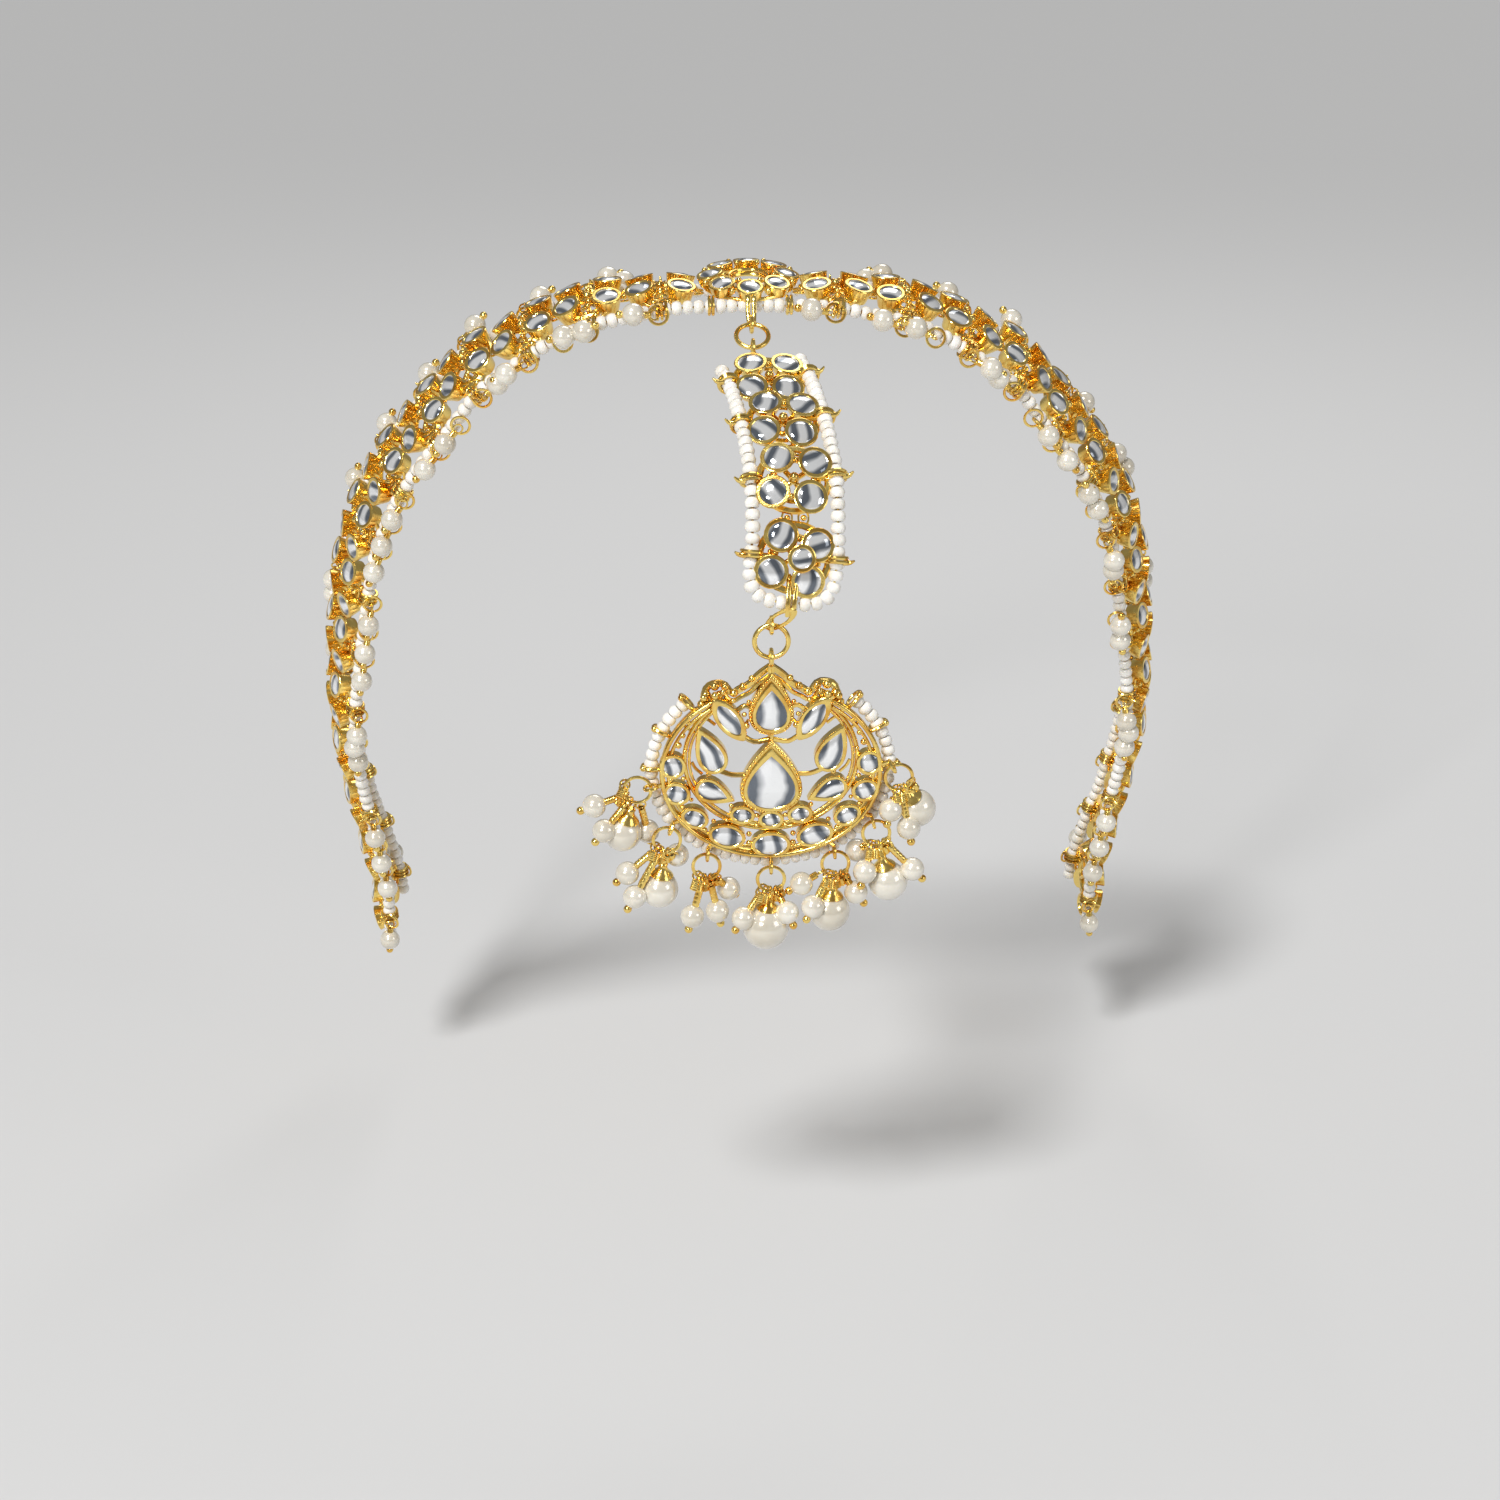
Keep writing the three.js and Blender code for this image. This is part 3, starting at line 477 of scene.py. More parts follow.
class Piece:
    """One named object while it is made, in millimetres."""

    def __init__(self, name: str) -> None:
        """Starts an empty piece.

        Args:
            name: Name of the object.
        """
        self.name = name
        self.bm = bmesh.new()
        self.bm.loops.layers.uv.new(STONE_PLAN)

    def press(self, stamp: bpy.types.Mesh, place: Matrix) -> None:
        """Adds a copy of a stamp at a place; a mirroring place keeps the faces outwards.

        Args:
            stamp: The mesh that is copied.
            place: Where the copy goes.
        """
        copy = stamp.copy()
        copy.transform(place)
        if place.determinant() < 0:
            copy.flip_normals()
        self.bm.from_mesh(copy)
        bpy.data.meshes.remove(copy)

    def wire(self, points: Sequence[Sequence[float]], diameter: float, steps: int, place: Matrix) -> None:
        """Adds a gold wire through points of a place's own frame.

        Args:
            points: Points that the wire passes through.
            diameter: Diameter of the wire.
            steps: Steps along the wire.
            place: The frame of the points.
        """
        stamp = wire_stamp(Route(points, 8).frames(steps), diameter, 6, Finish.GOLD)
        self.press(stamp, place)
        bpy.data.meshes.remove(stamp)

    def finish(self, dresser: "Dresser", body: str, slot: str, replaces: Sequence[str]) -> None:
        """Makes the object, dresses it and ties it to the frame.

        Args:
            dresser: Gives the materials.
            body: Body that the piece rides on.
            slot: Material slot of the record that it takes; not used.
            replaces: Solids that it stands for.
        """
        bmesh.ops.scale(self.bm, vec=(MM, MM, MM), verts=self.bm.verts)
        mesh = bpy.data.meshes.new(self.name)
        self.bm.to_mesh(mesh)
        self.bm.free()
        indices = [polygon.material_index for polygon in mesh.polygons]
        used = sorted(set(indices))
        for index in used:
            mesh.materials.append(dresser.material(Finish(index)))
        mesh.polygons.foreach_set("material_index", [used.index(index) for index in indices])
        piece = bpy.data.objects.new(self.name, mesh)
        bpy.context.scene.collection.objects.link(piece)
        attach(piece, body)
        if replaces:
            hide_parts(*replaces)
        LOG.info("%s: %d faces on %s", self.name, len(mesh.polygons), body)


def shared_group(name: str, inputs: dict[str, float], outputs: Sequence[str]) -> bpy.types.NodeTree:
    """Starts a shader group with a vector input, number inputs and number outputs.

    Args:
        name: Name of the group.
        inputs: Number inputs and their values.
        outputs: Number outputs.

    Returns:
        The group.
    """
    group = bpy.data.node_groups.new(name, "ShaderNodeTree")
    group.interface.new_socket("Vector", in_out="INPUT", socket_type="NodeSocketVector")
    for key, value in inputs.items():
        socket = group.interface.new_socket(key, in_out="INPUT", socket_type="NodeSocketFloat")
        socket.default_value = value
    for key in outputs:
        group.interface.new_socket(key, in_out="OUTPUT", socket_type="NodeSocketFloat")
    return group


def surface_grain() -> bpy.types.NodeTree:
    """Builds the group that every finish uses: a broad mask and a fine height.

    Returns:
        The group.
    """
    group = shared_group("surface_grain", {"Broad": 200.0, "Fine": 1500.0}, ("Mask", "Height"))
    nodes, links = group.nodes, group.links
    source, target = nodes.new("NodeGroupInput"), nodes.new("NodeGroupOutput")
    for key, out, detail in (("Broad", "Mask", 3.0), ("Fine", "Height", 2.0)):
        noise = nodes.new("ShaderNodeTexNoise")
        noise.inputs["Detail"].default_value = detail
        links.new(source.outputs["Vector"], noise.inputs["Vector"])
        links.new(source.outputs[key], noise.inputs["Scale"])
        links.new(noise.outputs["Fac"], target.inputs[out])
    return group


@dataclass(frozen=True)
class Surface:
    """One finish: two tones mixed by a broad mask, or on stones by painted reflection sweeps, roughness
    limits and a fine bump.
    """

    name: str
    deep: tuple[float, float, float]
    light: tuple[float, float, float]
    tones: tuple[float, float]
    rough: tuple[float, float]
    broad: float
    fine: float
    bump: float
    metallic: float = 0.0
    coat: float = 0.0
    coat_rough: float = 0.08
    coat_ior: float = 1.5
    sub: float = 0.0
    depth: float = 0.1
    # Stones take painted reflections: light and dark sweeps in the base colour in place of the broad mask.
    painted_reflections: bool = False

    def build(self, grain: bpy.types.NodeTree) -> bpy.types.Material:
        """Builds the material.

        Args:
            grain: The shared grain group.

        Returns:
            The material.
        """
        material = bpy.data.materials.new(self.name)
        material.use_nodes = True
        nodes, links = material.node_tree.nodes, material.node_tree.links
        shader = nodes["Principled BSDF"]
        shader.inputs["Metallic"].default_value = self.metallic
        shader.inputs["Coat Weight"].default_value = self.coat
        shader.inputs["Coat Roughness"].default_value = self.coat_rough
        shader.inputs["Coat IOR"].default_value = self.coat_ior
        if self.sub:
            shader.inputs["Subsurface Weight"].default_value = self.sub
            shader.inputs["Subsurface Radius"].default_value = (0.8, 0.6, 0.4)
            shader.inputs["Subsurface Scale"].default_value = 0.0015
        place = nodes.new("ShaderNodeTexCoord")
        group = nodes.new("ShaderNodeGroup")
        group.node_tree = grain
        group.inputs["Broad"].default_value = self.broad
        group.inputs["Fine"].default_value = self.fine
        links.new(place.outputs["Object"], group.inputs["Vector"])
        ramp = nodes.new("ShaderNodeValToRGB")
        low, high = ramp.color_ramp.elements
        low.position, high.position = self.tones
        low.color, high.color = (*self.deep, 1.0), (*self.light, 1.0)
        # On stones the tone is painted reflection: sweeps that stand in for lamps and dark surroundings.
        tone = self._paint_reflections(nodes, links, group) if self.painted_reflections else group.outputs["Mask"]
        links.new(tone, ramp.inputs["Fac"])
        links.new(ramp.outputs["Color"], shader.inputs["Base Color"])
        wear = nodes.new("ShaderNodeMapRange")
        wear.inputs["To Min"].default_value, wear.inputs["To Max"].default_value = self.rough
        links.new(group.outputs["Mask"], wear.inputs["Value"])
        links.new(wear.outputs["Result"], shader.inputs["Roughness"])
        bump = nodes.new("ShaderNodeBump")
        bump.inputs["Strength"].default_value = self.bump
        bump.inputs["Distance"].default_value = self.depth * MM
        links.new(group.outputs["Height"], bump.inputs["Height"])
        links.new(bump.outputs["Normal"], shader.inputs["Normal"])
        return material

    @staticmethod
    def _paint_reflections(
        nodes: bpy.types.Nodes, links: bpy.types.NodeLinks, group: bpy.types.ShaderNode
    ) -> bpy.types.NodeSocket:
        """Paints reflections into the base colour: long light and dark sweeps on the stone's own plan,
        standing in for what a foiled stone reflects.

        Args:
            nodes: Nodes of the material.
            links: Links of the material.
            group: The grain group, whose broad mask sets each stone's sweeps apart.

        Returns:
            The tone of the painted reflections.
        """
        plan = nodes.new("ShaderNodeUVMap")
        plan.uv_map = STONE_PLAN
        apart = nodes.new("ShaderNodeMath")
        apart.operation = "MULTIPLY"
        apart.inputs[1].default_value = 9.0
        links.new(group.outputs["Mask"], apart.inputs[0])
        wave = nodes.new("ShaderNodeTexWave")
        wave.bands_direction = "X"
        wave.inputs["Scale"].default_value = 0.62
        wave.inputs["Distortion"].default_value = 3.6
        wave.inputs["Detail"].default_value = 0.0
        wave.inputs["Detail Scale"].default_value = 1.3
        links.new(plan.outputs["UV"], wave.inputs["Vector"])
        links.new(apart.outputs["Value"], wave.inputs["Phase Offset"])
        return wave.outputs["Fac"]


SURFACES = {
    Finish.GOLD: Surface(
        "polished_gold_plate", (0.84, 0.43, 0.06), (1.0, 0.74, 0.22), (0.28, 0.55), (0.1, 0.26),
        260.0, 2600.0, 0.25, metallic=1.0,
    ),
    # The dark and light stone tones are painted reflections of the dark surroundings and the lamps, laid
    # as sweeps.
    Finish.STONE: Surface(
        "foiled_stone", (0.13, 0.15, 0.18), (0.95, 0.96, 0.97), (0.1, 0.68), (0.03, 0.14),
        75.0, 300.0, 0.4, metallic=0.6, coat=1.0, coat_rough=0.03, depth=0.3, painted_reflections=True,
    ),
    Finish.PEARL: Surface(
        "pearl_lustre", (0.68, 0.62, 0.5), (0.92, 0.88, 0.78), (0.28, 0.72), (0.14, 0.26),
        150.0, 2200.0, 0.12, metallic=0.22, coat=1.0, coat_rough=0.05, coat_ior=1.8, sub=0.08,
    ),
    Finish.SEED: Surface(
        "seed_bead_white", (0.84, 0.8, 0.72), (0.97, 0.95, 0.91), (0.35, 0.65), (0.26, 0.42),
        330.0, 2600.0, 0.1, coat=0.5, coat_rough=0.16, sub=0.1,
    ),
}


class Dresser:
    """Builds each finish once and hands it out."""

    def __init__(self) -> None:
        """Starts with the shared grain group and no material."""
        self.grain = surface_grain()
        self.made: dict[Finish, bpy.types.Material] = {}

    def material(self, finish: Finish) -> bpy.types.Material:
        """Gives the material of a finish.

        Args:
            finish: The finish.

        Returns:
            The material.
        """
        if finish not in self.made:
            self.made[finish] = SURFACES[finish].build(self.grain)
        return self.made[finish]


@dataclass
class Stock:
    """Small parts that many pieces use, each made once."""

    stamps: dict[str, bpy.types.Mesh] = field(default_factory=dict)

    def __post_init__(self) -> None:
        """Makes the stamps."""
        hole, wide, half = 0.35, 1.45, 0.98
        bead = [
            (hole, -half * 0.62), (0.62, -half * 0.95), (0.95, -half * 0.96), (1.3, -half * 0.62),
            (wide, 0.0), (1.3, half * 0.62), (0.95, half * 0.96), (0.62, half * 0.95), (hole, half * 0.62),
        ]
        cap = [
            (0.0, 0.0), (2.3, 0.0), (2.45, 0.2), (2.3, 0.42), (1.7, 1.0), (1.05, 1.7), (0.85, 2.5),
            (1.0, 2.75), (0.8, 3.05), (0.0, 3.1),
        ]
        self.stamps = {
            "seed": turned(bead, 12, Finish.SEED),
            "pearl": ball_stamp(SMALL_PEARL_D, 20, Finish.PEARL),
            "big_pearl": ball_stamp(BIG_PEARL_D, 32, Finish.PEARL),
            "granule": ball_stamp(1.3, 10, Finish.GOLD),
            "tip": ball_stamp(1.75, 12, Finish.GOLD),
            "cap": turned(cap, 20, Finish.GOLD),
            "eye": ring_stamp(1.0, 0.42, 14, 6, Finish.GOLD),
            "link": ring_stamp(2.0, 0.62, 20, 6, Finish.GOLD),
            "tie": ring_stamp(1.85, 0.72, 16, 6, Finish.GOLD),
            "loop": ring_stamp(LOOP_R, 0.9, 20, 8, Finish.GOLD),
            "jump": ring_stamp(RING_R, 1.0, 36, 10, Finish.GOLD),
            "drop_ring": ring_stamp(DROP_RING_R, 0.72, 28, 8, Finish.GOLD),
            "coil": coil_stamp(0.62, 0.34, 5.0, 1.0),
            "thread": turned([(0.0, 0.0), (0.22, 0.0), (0.22, 1.0), (0.0, 1.0)], 6, Finish.GOLD),
        }

    def __getitem__(self, name: str) -> bpy.types.Mesh:
        """Gives a stamp by name."""
        return self.stamps[name]

    def clear(self) -> None:
        """Removes the stamps once every piece is made."""
        for stamp in self.stamps.values():
            bpy.data.meshes.remove(stamp)

    def pearl_on_wire(self, piece: Piece, hold: Vector, centre: Vector, scale: float, big: bool) -> None:
        """Hangs a pearl: an eye on its ring, a wound neck, the pearl and the ball at its end.

        Args:
            piece: The piece that it joins.
            hold: Middle of the wire that it hangs on.
            centre: Middle of the pearl.
            scale: Size of the pearl against the stock's.
            big: Whether it is the large pearl with a cap.
        """
        away = (centre - hold).normalized()
        radius = (BIG_PEARL_D if big else SMALL_PEARL_D) / 2 * scale
        roll = (hold.x * 37.0 + hold.z * 53.0) % 180.0
        upright = facing(away, hold, roll)
        piece.press(self["eye"], upright @ shift(0, 0, 0.85) @ Matrix.Rotation(math.pi / 2, 4, "X"))
        neck = max((centre - hold).length - radius - 1.6, 0.6)
        piece.press(self["coil"], upright @ shift(0, 0, 1.7) @ Matrix.Diagonal((1, 1, neck, 1)))
        piece.press(self["thread"], upright @ shift(0, 0, 1.5) @ Matrix.Diagonal((1, 1, neck + 1, 1)))
        at_pearl = facing(away, centre, roll) @ Matrix.Scale(scale, 4)
        piece.press(self["big_pearl" if big else "pearl"], at_pearl)
        if big:
            cap = facing(-away, centre - away * (radius * 0.86), roll)
            piece.press(self["cap"], cap)
        else:
            piece.press(self["tip"], facing(away, centre + away * (radius + 0.5), 0.0))

    def string(self, piece: Piece, route: Route, pitch: float, size: float) -> None:
        """Threads seed beads along a route, from end to end.

        Args:
            piece: The piece that it joins.
            route: Line of the string.
            pitch: Distance between two beads, about.
            size: Size of the beads against the stock's.
        """
        count = max(int(route.length / pitch), 1)
        step = route.length / count
        for i in range(count):
            point, along = route.at((i + 0.5) * step)
            wobble = 1.0 + 0.05 * math.sin(i * 2.4) * math.cos(i * 1.3)
            piece.press(self["seed"], facing(along, point, i * 31.0) @ Matrix.Scale(size * wobble, 4))
        thread = wire_stamp(route.frames(max(count // 2, 4)), 0.5, 5, Finish.GOLD)
        piece.press(thread, Matrix.Identity(4))
        bpy.data.meshes.remove(thread)


@dataclass
class FlowerUnit:
    """Four foiled stones on an openwork base, as the bands and the strip repeat."""

    across: float
    along: float = ALONG_SPACING
    setting: float = 6.4
    height: float = 2.5
    lift: float = 1.1
    slope: float = 17.0

    def stamp(self, stock: Stock) -> bpy.types.Mesh:
        """Builds the unit in its own frame: x along, y across, z outwards.

        Args:
            stock: The small parts.

        Returns:
            The unit.
        """
        unit = Piece("unit")
        stone = Setting(
            Outline.OVAL, self.setting, self.setting, 20, self.height, rim=0.85, foot=0.78
        ).stamp()
        for sx in (-1, 1):
            for sy in (-1, 1):
                x, y = sx * self.along / 2, sy * self.across / 2
                axis = Vector((-sy, sx, 0.0)).normalized()
                lean = Matrix.Rotation(math.radians(self.slope), 4, axis)
                spin = Matrix.Rotation(math.radians(75 + 30 * sx - 20 * sy), 4, "Z")
                place = shift(x, y, self.lift) @ lean @ spin
                unit.press(stone, place)
                unit.wire(
                    [(0, 0, 0.8), (x * 0.5, y * 0.5, 0.35), (x, y, 0.7)], 1.1, 4, Matrix.Identity(4)
                )
        bpy.data.meshes.remove(stone)
        reach_x, reach_y = self.along / 2 + 0.4, self.across / 2 + 0.3
        for x, y, z, size in (
            (0, 0, 2.5, 1.5), (0, reach_y, 1.9, 1.0), (0, -reach_y, 1.9, 1.0),
            (reach_x, 0, 1.9, 1.0), (-reach_x, 0, 1.9, 1.0), (0, reach_y + 1.1, 1.2, 0.75),
            (0, -reach_y - 1.1, 1.2, 0.75), (0, 0, 1.2, 1.7),
        ):
            unit.press(stock["granule"], shift(x, y, z) @ Matrix.Scale(size, 4))
        base = ring_stamp(1.0, 0.22, 24, 6, Finish.GOLD)
        for z, wide, long in ((0.35, 4.3, 4.4), (0.8, 6.5, 6.8)):
            unit.press(base, shift(0, 0, z) @ Matrix.Diagonal((wide, long, 4.0, 1)))
        bpy.data.meshes.remove(base)
        mesh = bpy.data.meshes.new("stamp")
        unit.bm.to_mesh(mesh)
        unit.bm.free()
        return mesh


def band_line() -> Route:
    """Makes the middle line of the band on the +x side.

    Returns:
        The line.
    """
    lean = math.tan(math.radians(BAND_LEAN))
    falls = [(across * ARCH_HALF_WIDTH, drop * ARCH_DROP) for across, drop in BAND_ROUTE]
    return Route([(x, fall * lean, ARCH_TOP - fall) for x, fall in falls])


@dataclass
class SideBand:
    """A side band with its two bead strings and the pearls along its edges."""

    side: str
    mirror: int
    lies: Sequence[int]
    line: Route = field(default_factory=band_line)

    def __post_init__(self) -> None:
        """Finds the units' places."""
        count = int((self.line.length - FIRST_UNIT - UNIT_HALF) / UNIT_PITCH) + 1
        self.places = [FIRST_UNIT + i * UNIT_PITCH for i in range(count)]
        self.end = self.places[-1] + UNIT_HALF

    def frame(self, distance: float) -> Matrix:
        """Gives the band's frame: x along, y across to the back, z outwards.

        Args:
            distance: Distance along the line.

        Returns:
            The frame.
        """
        point, along = self.line.at(distance)
        share = min(max(distance / self.line.length, 0.0), 1.0)
        back = Vector((0.0, 1.0, 0.0))
        back = (back - along * back.dot(along)).normalized()
        for (start, low), (end, high) in zip(BAND_TURNS, BAND_TURNS[1:]):
            if share <= end:
                break
        t = (share - start) / (end - start)
        turn = low + (high - low) * t * t * (3 - 2 * t)
        back.rotate(Matrix.Rotation(math.radians(turn), 3, along))
        placed = basis(along, back, along.cross(back), point)
        return Matrix.Diagonal((self.mirror, 1, 1, 1)) @ placed

    def string_route(self, side: int) -> Route:
        """Gives the line of the string along one edge.

        Args:
            side: Which edge: -1 for the front, 1 for the back.

        Returns:
            The line.
        """
        steps = 48
        points = []
        for i in range(steps + 1):
            place = self.frame(0.4 + (self.end - 0.4) * i / steps)
            points.append(place @ Vector((0.0, side * STRING_ACROSS, -STRING_UNDER)))
        return Route(points, 4)

    def build(self, stock: Stock, dresser: Dresser) -> None:
        """Builds the chain of units, the two strings and the pearls.

        Args:
            stock: The small parts.
            dresser: Gives the materials.
        """
        self._chain(stock).finish(dresser, "head_piece", "gold", [f"{self.side}_band"])
        for edge, name in ((-1, "front"), (1, "back")):
            beads = Piece(f"{self.side}_{name}_seed_beads")
            stock.string(beads, self.string_route(edge), STRING_PITCH, STRING_SIZE)
            beads.finish(dresser, "head_piece", "seed_beads", [f"{self.side}_{name}_string"])
        self._pearls(stock).finish(dresser, "head_piece", "pearl", [])

    def _chain(self, stock: Stock) -> Piece:
        """Builds the units, the links between them, the end loop and the ties.

        Args:
            stock: The small parts.

        Returns:
            The chain, not finished yet.
        """
        chain = Piece(f"{self.side}_flower_chain")
        unit = FlowerUnit(ACROSS_SPACING, height=3.4, lift=0.2).stamp(stock)
        for place in self.places:
            chain.press(unit, self.frame(place) @ shift(0, 0, -BAND_UNDER))
        bpy.data.meshes.remove(unit)
        joints = [BAND_START + 0.6, *[place + UNIT_PITCH / 2 for place in self.places[:-1]]]
        for joint in joints:
            middle = self.frame(joint) @ shift(0, 0, 0.7 - BAND_UNDER)
            for y in (-1.5, 1.5):
                chain.press(stock["eye"], middle @ shift(0, y, 0) @ Matrix.Diagonal((1.7, 1.0, 1.2, 1)))
                chain.press(stock["granule"], middle @ shift(0, y, 0.6))
        past = self.end + END_LOOP_R - 0.2 - self.line.length
        eyelet = ring_stamp(END_LOOP_R, 1.0, 24, 8, Finish.GOLD)
        chain.press(eyelet, self.frame(self.line.length) @ shift(past, 0, 0.6 - BAND_UNDER))
        bpy.data.meshes.remove(eyelet)
        for place in self.places:
            for edge in (-1, 1):
                self._tie(chain, stock, place, edge)
        return chain

    def _pearls(self, stock: Stock) -> Piece:
        """Builds the pearls along both edges, with a second one in front at every other unit.

        Args:
            stock: The small parts.

        Returns:
            The pearls, not finished yet.
        """
        pearls = Piece(f"{self.side}_edge_pearls")
        turns = len(self.lies)
        for i, place in enumerate(self.places):
            last = i == len(self.places) - 1
            front, back = self.lies[i % turns], -self.lies[(i + 3) % turns]
            self._edge_pearl(pearls, stock, place, -1, 1 if last else front)
            self._edge_pearl(pearls, stock, place + 2.0, 1, -1 if last else back)
            if i % 2 and not last:
                between = place + UNIT_PITCH / 2
                self._edge_pearl(pearls, stock, between, -1, self.lies[(i + 2) % turns])
        return pearls

    def _tie(self, chain: Piece, stock: Stock, place: float, edge: int) -> None:
        """Ties the string to a unit: wire round the string, a bar to the unit and a leaf outside.

        Args:
            chain: The band's chain.
            stock: The small parts.
            place: Distance along the line.
            edge: Which edge: -1 or 1.
        """
        at = self.frame(place)
        string = at @ shift(0, edge * STRING_ACROSS, -STRING_UNDER)
        upright = Matrix.Rotation(math.pi / 2, 4, "Y")
        for x in (-0.95, 0.0, 0.95):
            chain.press(stock["tie"], string @ shift(x, 0, 0) @ upright)
        for x in (-1.5, 1.5):
            chain.press(stock["granule"], string @ shift(x, -edge * 1.3, 1.3) @ Matrix.Scale(1.3, 4))
        y = edge * (STRING_ACROSS - 1.4)
        points = [(0, edge * 3.9, 1.0 - BAND_UNDER), (0, y, 0.4 - BAND_UNDER), (0, y + edge * 1.3, -1.4)]
        chain.wire(points, 1.1, 5, at)
        for x in (-1, 1):
            arm = [(x * 4.2, edge * 6.2, -1.2), (x * 3.0, edge * 7.0, -2.2), (x * 1.4, edge * 7.3, -2.4)]
            chain.wire(arm, 0.9, 5, at)
        leaf = [(0, edge * 1.4, 0.6), (0, edge * 2.4, 1.2), (0, edge * 3.1, 2.4)]
        stamp = wire_stamp(Route(leaf, 6).frames(5), 1.4, 6, Finish.GOLD, lambda t: 1.0 - 0.75 * t)
        chain.press(stamp, string)
        bpy.data.meshes.remove(stamp)

    def _edge_pearl(self, piece: Piece, stock: Stock, place: float, edge: int, lie: int) -> None:
        """Hangs a pearl on the string's tie, lying along the band in the given direction.

        Args:
            piece: The piece that it joins.
            stock: The small parts.
            place: Distance along the line.
            edge: Which edge: -1 for the front, 1 for the back.
            lie: Direction along the band: -1 towards the crown, 1 away from it.
        """
        at = self.frame(place)
        string = at @ shift(0, edge * STRING_ACROSS, -STRING_UNDER)
        link = string @ Vector((lie * 0.7, edge * 2.2, -0.4))
        roll = Matrix.Rotation(math.radians(70), 4, "X")
        piece.press(stock["link"], string @ shift(lie * 0.7, edge * 2.0, -0.4) @ roll)
        if edge > 0:
            link = string @ Vector((lie * 0.7, 1.4, 1.7))
        centre = string @ Vector((lie * 5.9, *((2.4, 1.7) if edge > 0 else (-2.9, 0.2))))
        stock.pearl_on_wire(piece, link, centre, 1.0, False)


@dataclass
class CrownFlower:
    """Eight foiled stones round an open middle, with the bail to the upper jump ring."""

    stones: int = 8
    height: float = 2.5
    slope: float = 14.0
    tilt: float = 9.0
    lift: float = 1.5

    def build(self, stock: Stock, dresser: Dresser) -> None:
        """Builds the flower with its bail, and the upper jump ring.

        Args:
            stock: The small parts.
            dresser: Gives the materials.
        """
        piece = Piece("crown_flower_stones")
        self._stones(piece, stock)
        fall = math.radians(UPPER_RING_SLOPE)
        hold = UPPER_RING + Vector((0, math.cos(fall), math.sin(fall))) * RING_R
        self._bail(piece, stock, hold)
        wrap = Matrix.Rotation(math.pi / 2, 4, "Y")
        for x in (-8.6, -7.8, 7.8, 8.6):
            piece.press(stock["tie"], shift(x, -STRING_ACROSS, ARCH_TOP - STRING_UNDER) @ wrap)
        piece.finish(dresser, "head_piece", "gold", ["crown_flower"])
        ring = Piece("upper_jump_ring")
        ring.press(stock["jump"], Matrix.Translation(UPPER_RING) @ Matrix.Rotation(fall, 4, "X"))
        ring.finish(dresser, "head_piece", "gold", ["jump_ring_upper"])

    def _stones(self, piece: Piece, stock: Stock) -> None:
        """Adds the stones, the granules between them and the three rings of the underlay.

        Args:
            piece: The piece that it joins.
            stock: The small parts.
        """
        size = CROWN_SETTING_D
        stone = Setting(Outline.OVAL, size, size, 20, self.height, rim=0.8, foot=0.85).stamp()
        head = shift(0, 0, self.lift) @ Matrix.Rotation(math.radians(self.tilt), 4, "X")
        step = 2 * math.pi / self.stones
        for i in range(self.stones):
            place = head @ Matrix.Rotation(step * i, 4, "Z") @ shift(CROWN_RING_R, 0, CROWN_BASE)
            spin = Matrix.Rotation(math.radians(50 * i), 4, "Z")
            piece.press(stone, place @ Matrix.Rotation(math.radians(self.slope), 4, "Y") @ spin)
            mid = head @ Matrix.Rotation(step * (i + 0.5), 4, "Z")
            for out, up, grow in ((-1.9, 2.7, 0.9), (2.2, 1.6, 1.0)):
                grain = mid @ shift(CROWN_RING_R + out, 0, CROWN_BASE + up)
                piece.press(stock["granule"], grain @ Matrix.Scale(grow, 4))
        bpy.data.meshes.remove(stone)
        for radius, wire, up in ((5.0, 1.1, 0.3), (9.3, 0.9, -0.2), (4.2, 0.8, 1.6)):
            ring = ring_stamp(radius, wire, 48, 8, Finish.GOLD)
            piece.press(ring, head @ shift(0, 0, CROWN_BASE + up))
            bpy.data.meshes.remove(ring)

    def _bail(self, piece: Piece, stock: Stock, hold: Vector) -> None:
        """Adds the loop on the upper jump ring and its double wire from the front stone.

        Args:
            piece: The piece that it joins.
            stock: The small parts.
            hold: Middle of the ring's wire that the loop goes round.
        """
        piece.press(stock["loop"], Matrix.Translation(hold) @ Matrix.Rotation(math.pi / 2, 4, "Y"))
        front = -(CROWN_RING_R + CROWN_SETTING_D / 2)
        for x in (-0.62, 0.62):
            points = [
                (x, front + 1.8, CROWN_BASE + 1.2), (x, front - 1.2, CROWN_BASE + 0.5),
                (x, front - 2.3, -1.0), (x * 0.8, hold.y + 0.6, hold.z + 0.4),
            ]
            piece.wire(points, 1.1, 12, Matrix.Identity(4))


